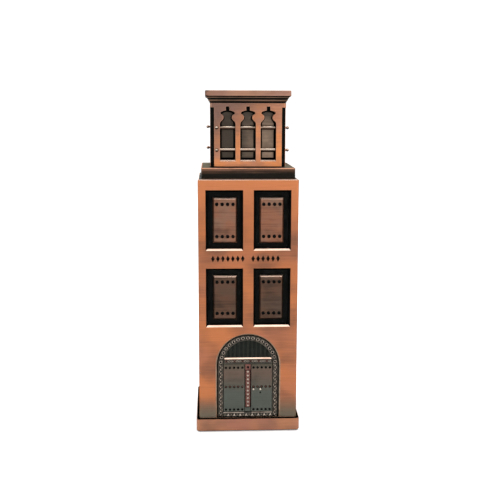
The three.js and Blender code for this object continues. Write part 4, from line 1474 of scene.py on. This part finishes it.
def cast_cornice():
    low, high = box_mm("cornice")
    top = Casting()
    side = lantern_half
    out = high.x - side
    shape = [(0, 0), (0.15, 0.25), (0.15, 0.6), (0.6, 0.85), (0.6, 1.2), (0.75, 1.3), (0.95, 1.9),
             (1.3, 2.15), (1.3, 2.35), (1.5, 2.45), (out, 2.9), (out, 4.95), (out - 0.25, 5.2),
             (out - 0.6, 5.2)]
    places = [(side + a, low.z + b, max(0.1, CORNER - out + a)) for a, b in eased(shape, 0.1)]

    def kind(i):
        up = (places[i][1] + places[i + 1][1]) / 2 - low.z
        if up > 2.9:
            return RUBBED
        # Below the flat edge, black stands for oxide in the hollows and for painted shade under the
        # overhang.
        return DULL if 0.6 < up < 1.28 or 2.1 < up < 2.42 else BLACK

    rings = level_rings(top, places, [kind(i) for i in range(len(places) - 1)])
    recess = high.x - ROOF_RIM
    well = level_rings(top, [(recess, high.z, 0.2), (recess, high.z - ROOF_SUNK, 0.2)], BLACK)
    top.band(rings[-1], well[0])
    top.lid(well[-1], finish=BLACK)
    top.lid(rings[0], finish=BLACK)
    top.piece("cast_cornice", "head",
              [cornice_copper, black, painted_highlight_copper, moulding_copper], ["cornice"], smooth=35)


def cast_roof():
    low, high = box_mm("roof_plate")
    roof = Casting()
    rim = rounded_rim(high.x, high.z, 0.2, 0.3, 3)
    stack(roof, [(high.x, low.z, 0.3), *rim, (high.x - 1.2, high.z, 0.3),
                 (high.x - 1.4, high.z - 0.15, 0.3)])
    roof.piece("cast_roof_plate", "head", [black], ["roof_plate"])


cast_cornice()
cast_roof()
print(f"cornice {2 * box_mm('cornice')[1].x:.1f} mm wide")

# %% [markdown]
# ## What stays as the frame has it
# The plates behind the windows and the door, and the screws, have the right shape already: flat
# black plates and plain turned screws, seen only from below or through a gap. Making them again
# would add nothing, so they only get their finish.

# %% Finishes for the frame's own nodes
kept = {"window_back": black, "door_back": black, "plinth_screw": screw_steel,
        "spigot_screw": screw_steel, "roof_screw": screw_steel}
for node_name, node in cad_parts.items():
    for start, metal in kept.items():
        if node_name.startswith(start):
            node.data.materials.clear()
            node.data.materials.append(metal)
print("still shown from the frame:",
      sorted(n for n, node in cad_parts.items() if not node.hide_render))

# %% [markdown]
# ## Studio
# Brushed metal shows nothing but its surroundings, so they are made as carefully as the piece.
# The floor is a pale paper sweep: flat round the piece, and curved up into a wall far away, so
# that no horizon shows. The metal mirrors it too, and its faint glow stands for light that a
# white studio throws back.

# %% Floor
SWEEP_REACH, SWEEP_RISE, SWEEP_BEND = 3.0, 2.0, 1.2  # metres


def pale_floor():
    steps, sides = 10, 64
    flat = SWEEP_REACH - SWEEP_BEND
    profile = [(0.001, 0.0), (flat, 0.0)]
    for i in range(1, steps + 1):
        a = math.pi / 2 * i / steps
        profile.append((flat + SWEEP_BEND * math.sin(a), SWEEP_BEND * (1 - math.cos(a))))
    profile.append((SWEEP_REACH, SWEEP_RISE))
    points = [(x, y, height) for radius, height in profile for x, y in circle(0, 0, radius, sides)]
    sweep = Casting()
    rows = [range(start, start + sides) for start in range(0, len(points), sides)]
    for a, b in zip(rows, rows[1:]):
        sweep.band(a, b)
    mesh = bpy.data.meshes.new("pale_floor")
    mesh.from_pydata(points, [], sweep.faces)
    mesh.polygons.foreach_set("use_smooth", [True] * len(mesh.polygons))
    floor = bpy.data.objects.new("pale_floor", mesh)
    bpy.context.scene.collection.objects.link(floor)
    paper, w, shader = new_material("white paper", 0.0, 0.9)
    grain = w.noise(w.place(), 30.0, 2.0)
    w.feed(shader["Base Color"], w.mix(grain, srgb("#fafafa"), srgb("#ffffff")))
    shader["Emission Color"].default_value = (1, 1, 1, 1)
    shader["Emission Strength"].default_value = 0.35
    mesh.materials.append(paper)
    print("floor:", len(mesh.polygons), "faces")


pale_floor()

# %% [markdown]
# ### Lights and room
# The lights are shaped like what should be seen in the metal: one large softbox overhead for the
# slopes and rods, a tall one in front and to the right for the face, two for the other sides, and
# a dim room. A softbox is given the brightness of its face, because that is what metal mirrors.

# %% Lights and room
def softbox(name, place, aim, size, brightness, tint="#ffffff"):
    """A rectangular light with this brightness on its face, turned to its aim."""
    light = bpy.data.lights.new(name, "AREA")
    light.shape = "RECTANGLE"
    light.size, light.size_y = size
    light.energy = brightness * math.pi * size[0] * size[1]
    light.color = srgb(tint)[:3]
    lamp = bpy.data.objects.new(name, light)
    lamp.location = place
    lamp.rotation_euler = (Vector(aim) - Vector(place)).to_track_quat("-Z", "Y").to_euler()
    bpy.context.scene.collection.objects.link(lamp)
    lamp.visible_camera = False


middle_of_tower = (0, 0, 0.075)
softbox("overhead softbox", (0, -0.1, 0.9), middle_of_tower, (1.0, 1.0), 2.0)
softbox("front right softbox", (0.55, -0.75, 0.35), middle_of_tower, (0.5, 0.8), 1.1, "#ffe9d6")
softbox("left fill", (-0.8, -0.3, 0.35), middle_of_tower, (0.4, 0.7), 0.4)
softbox("back softbox", (-0.2, 0.9, 0.45), middle_of_tower, (0.9, 0.6), 0.9)

world = bpy.data.worlds.new("dim room")
bpy.context.scene.world = world
world.use_nodes = True
room = world.node_tree.nodes["Background"].inputs
room["Color"].default_value = srgb("#ffffff")
room["Strength"].default_value = 0.42
bpy.context.scene.view_settings.view_transform = "Standard"
print("lights:", len(bpy.data.lights))

# %% [markdown]
# ### Camera
# The camera stands a little to the left of the piece and nearly as high as its top, and looks
# slightly down. A lens a little longer than normal keeps the tower's sides nearly upright.

# %% Camera
CAMERA_PLACE = (-0.01683, -0.37078, 0.14193)  # metres
LENS, SENSOR = 58.1, 36
camera_data = bpy.data.cameras.new("camera")
camera_data.lens = LENS
camera_data.sensor_width = SENSOR
camera = bpy.data.objects.new("camera", camera_data)
yaw, pitch, roll = math.radians(2.88), math.radians(9.51), math.radians(0.17)
turn = (Matrix.Rotation(-yaw, 4, "Z") @ Matrix.Rotation(math.pi / 2 - pitch, 4, "X")
        @ Matrix.Rotation(roll, 4, "Z"))
camera.matrix_world = Matrix.Translation(CAMERA_PLACE) @ turn
bpy.context.scene.collection.objects.link(camera)
bpy.context.scene.camera = camera
print("camera at", [round(v, 3) for v in camera.matrix_world.translation])
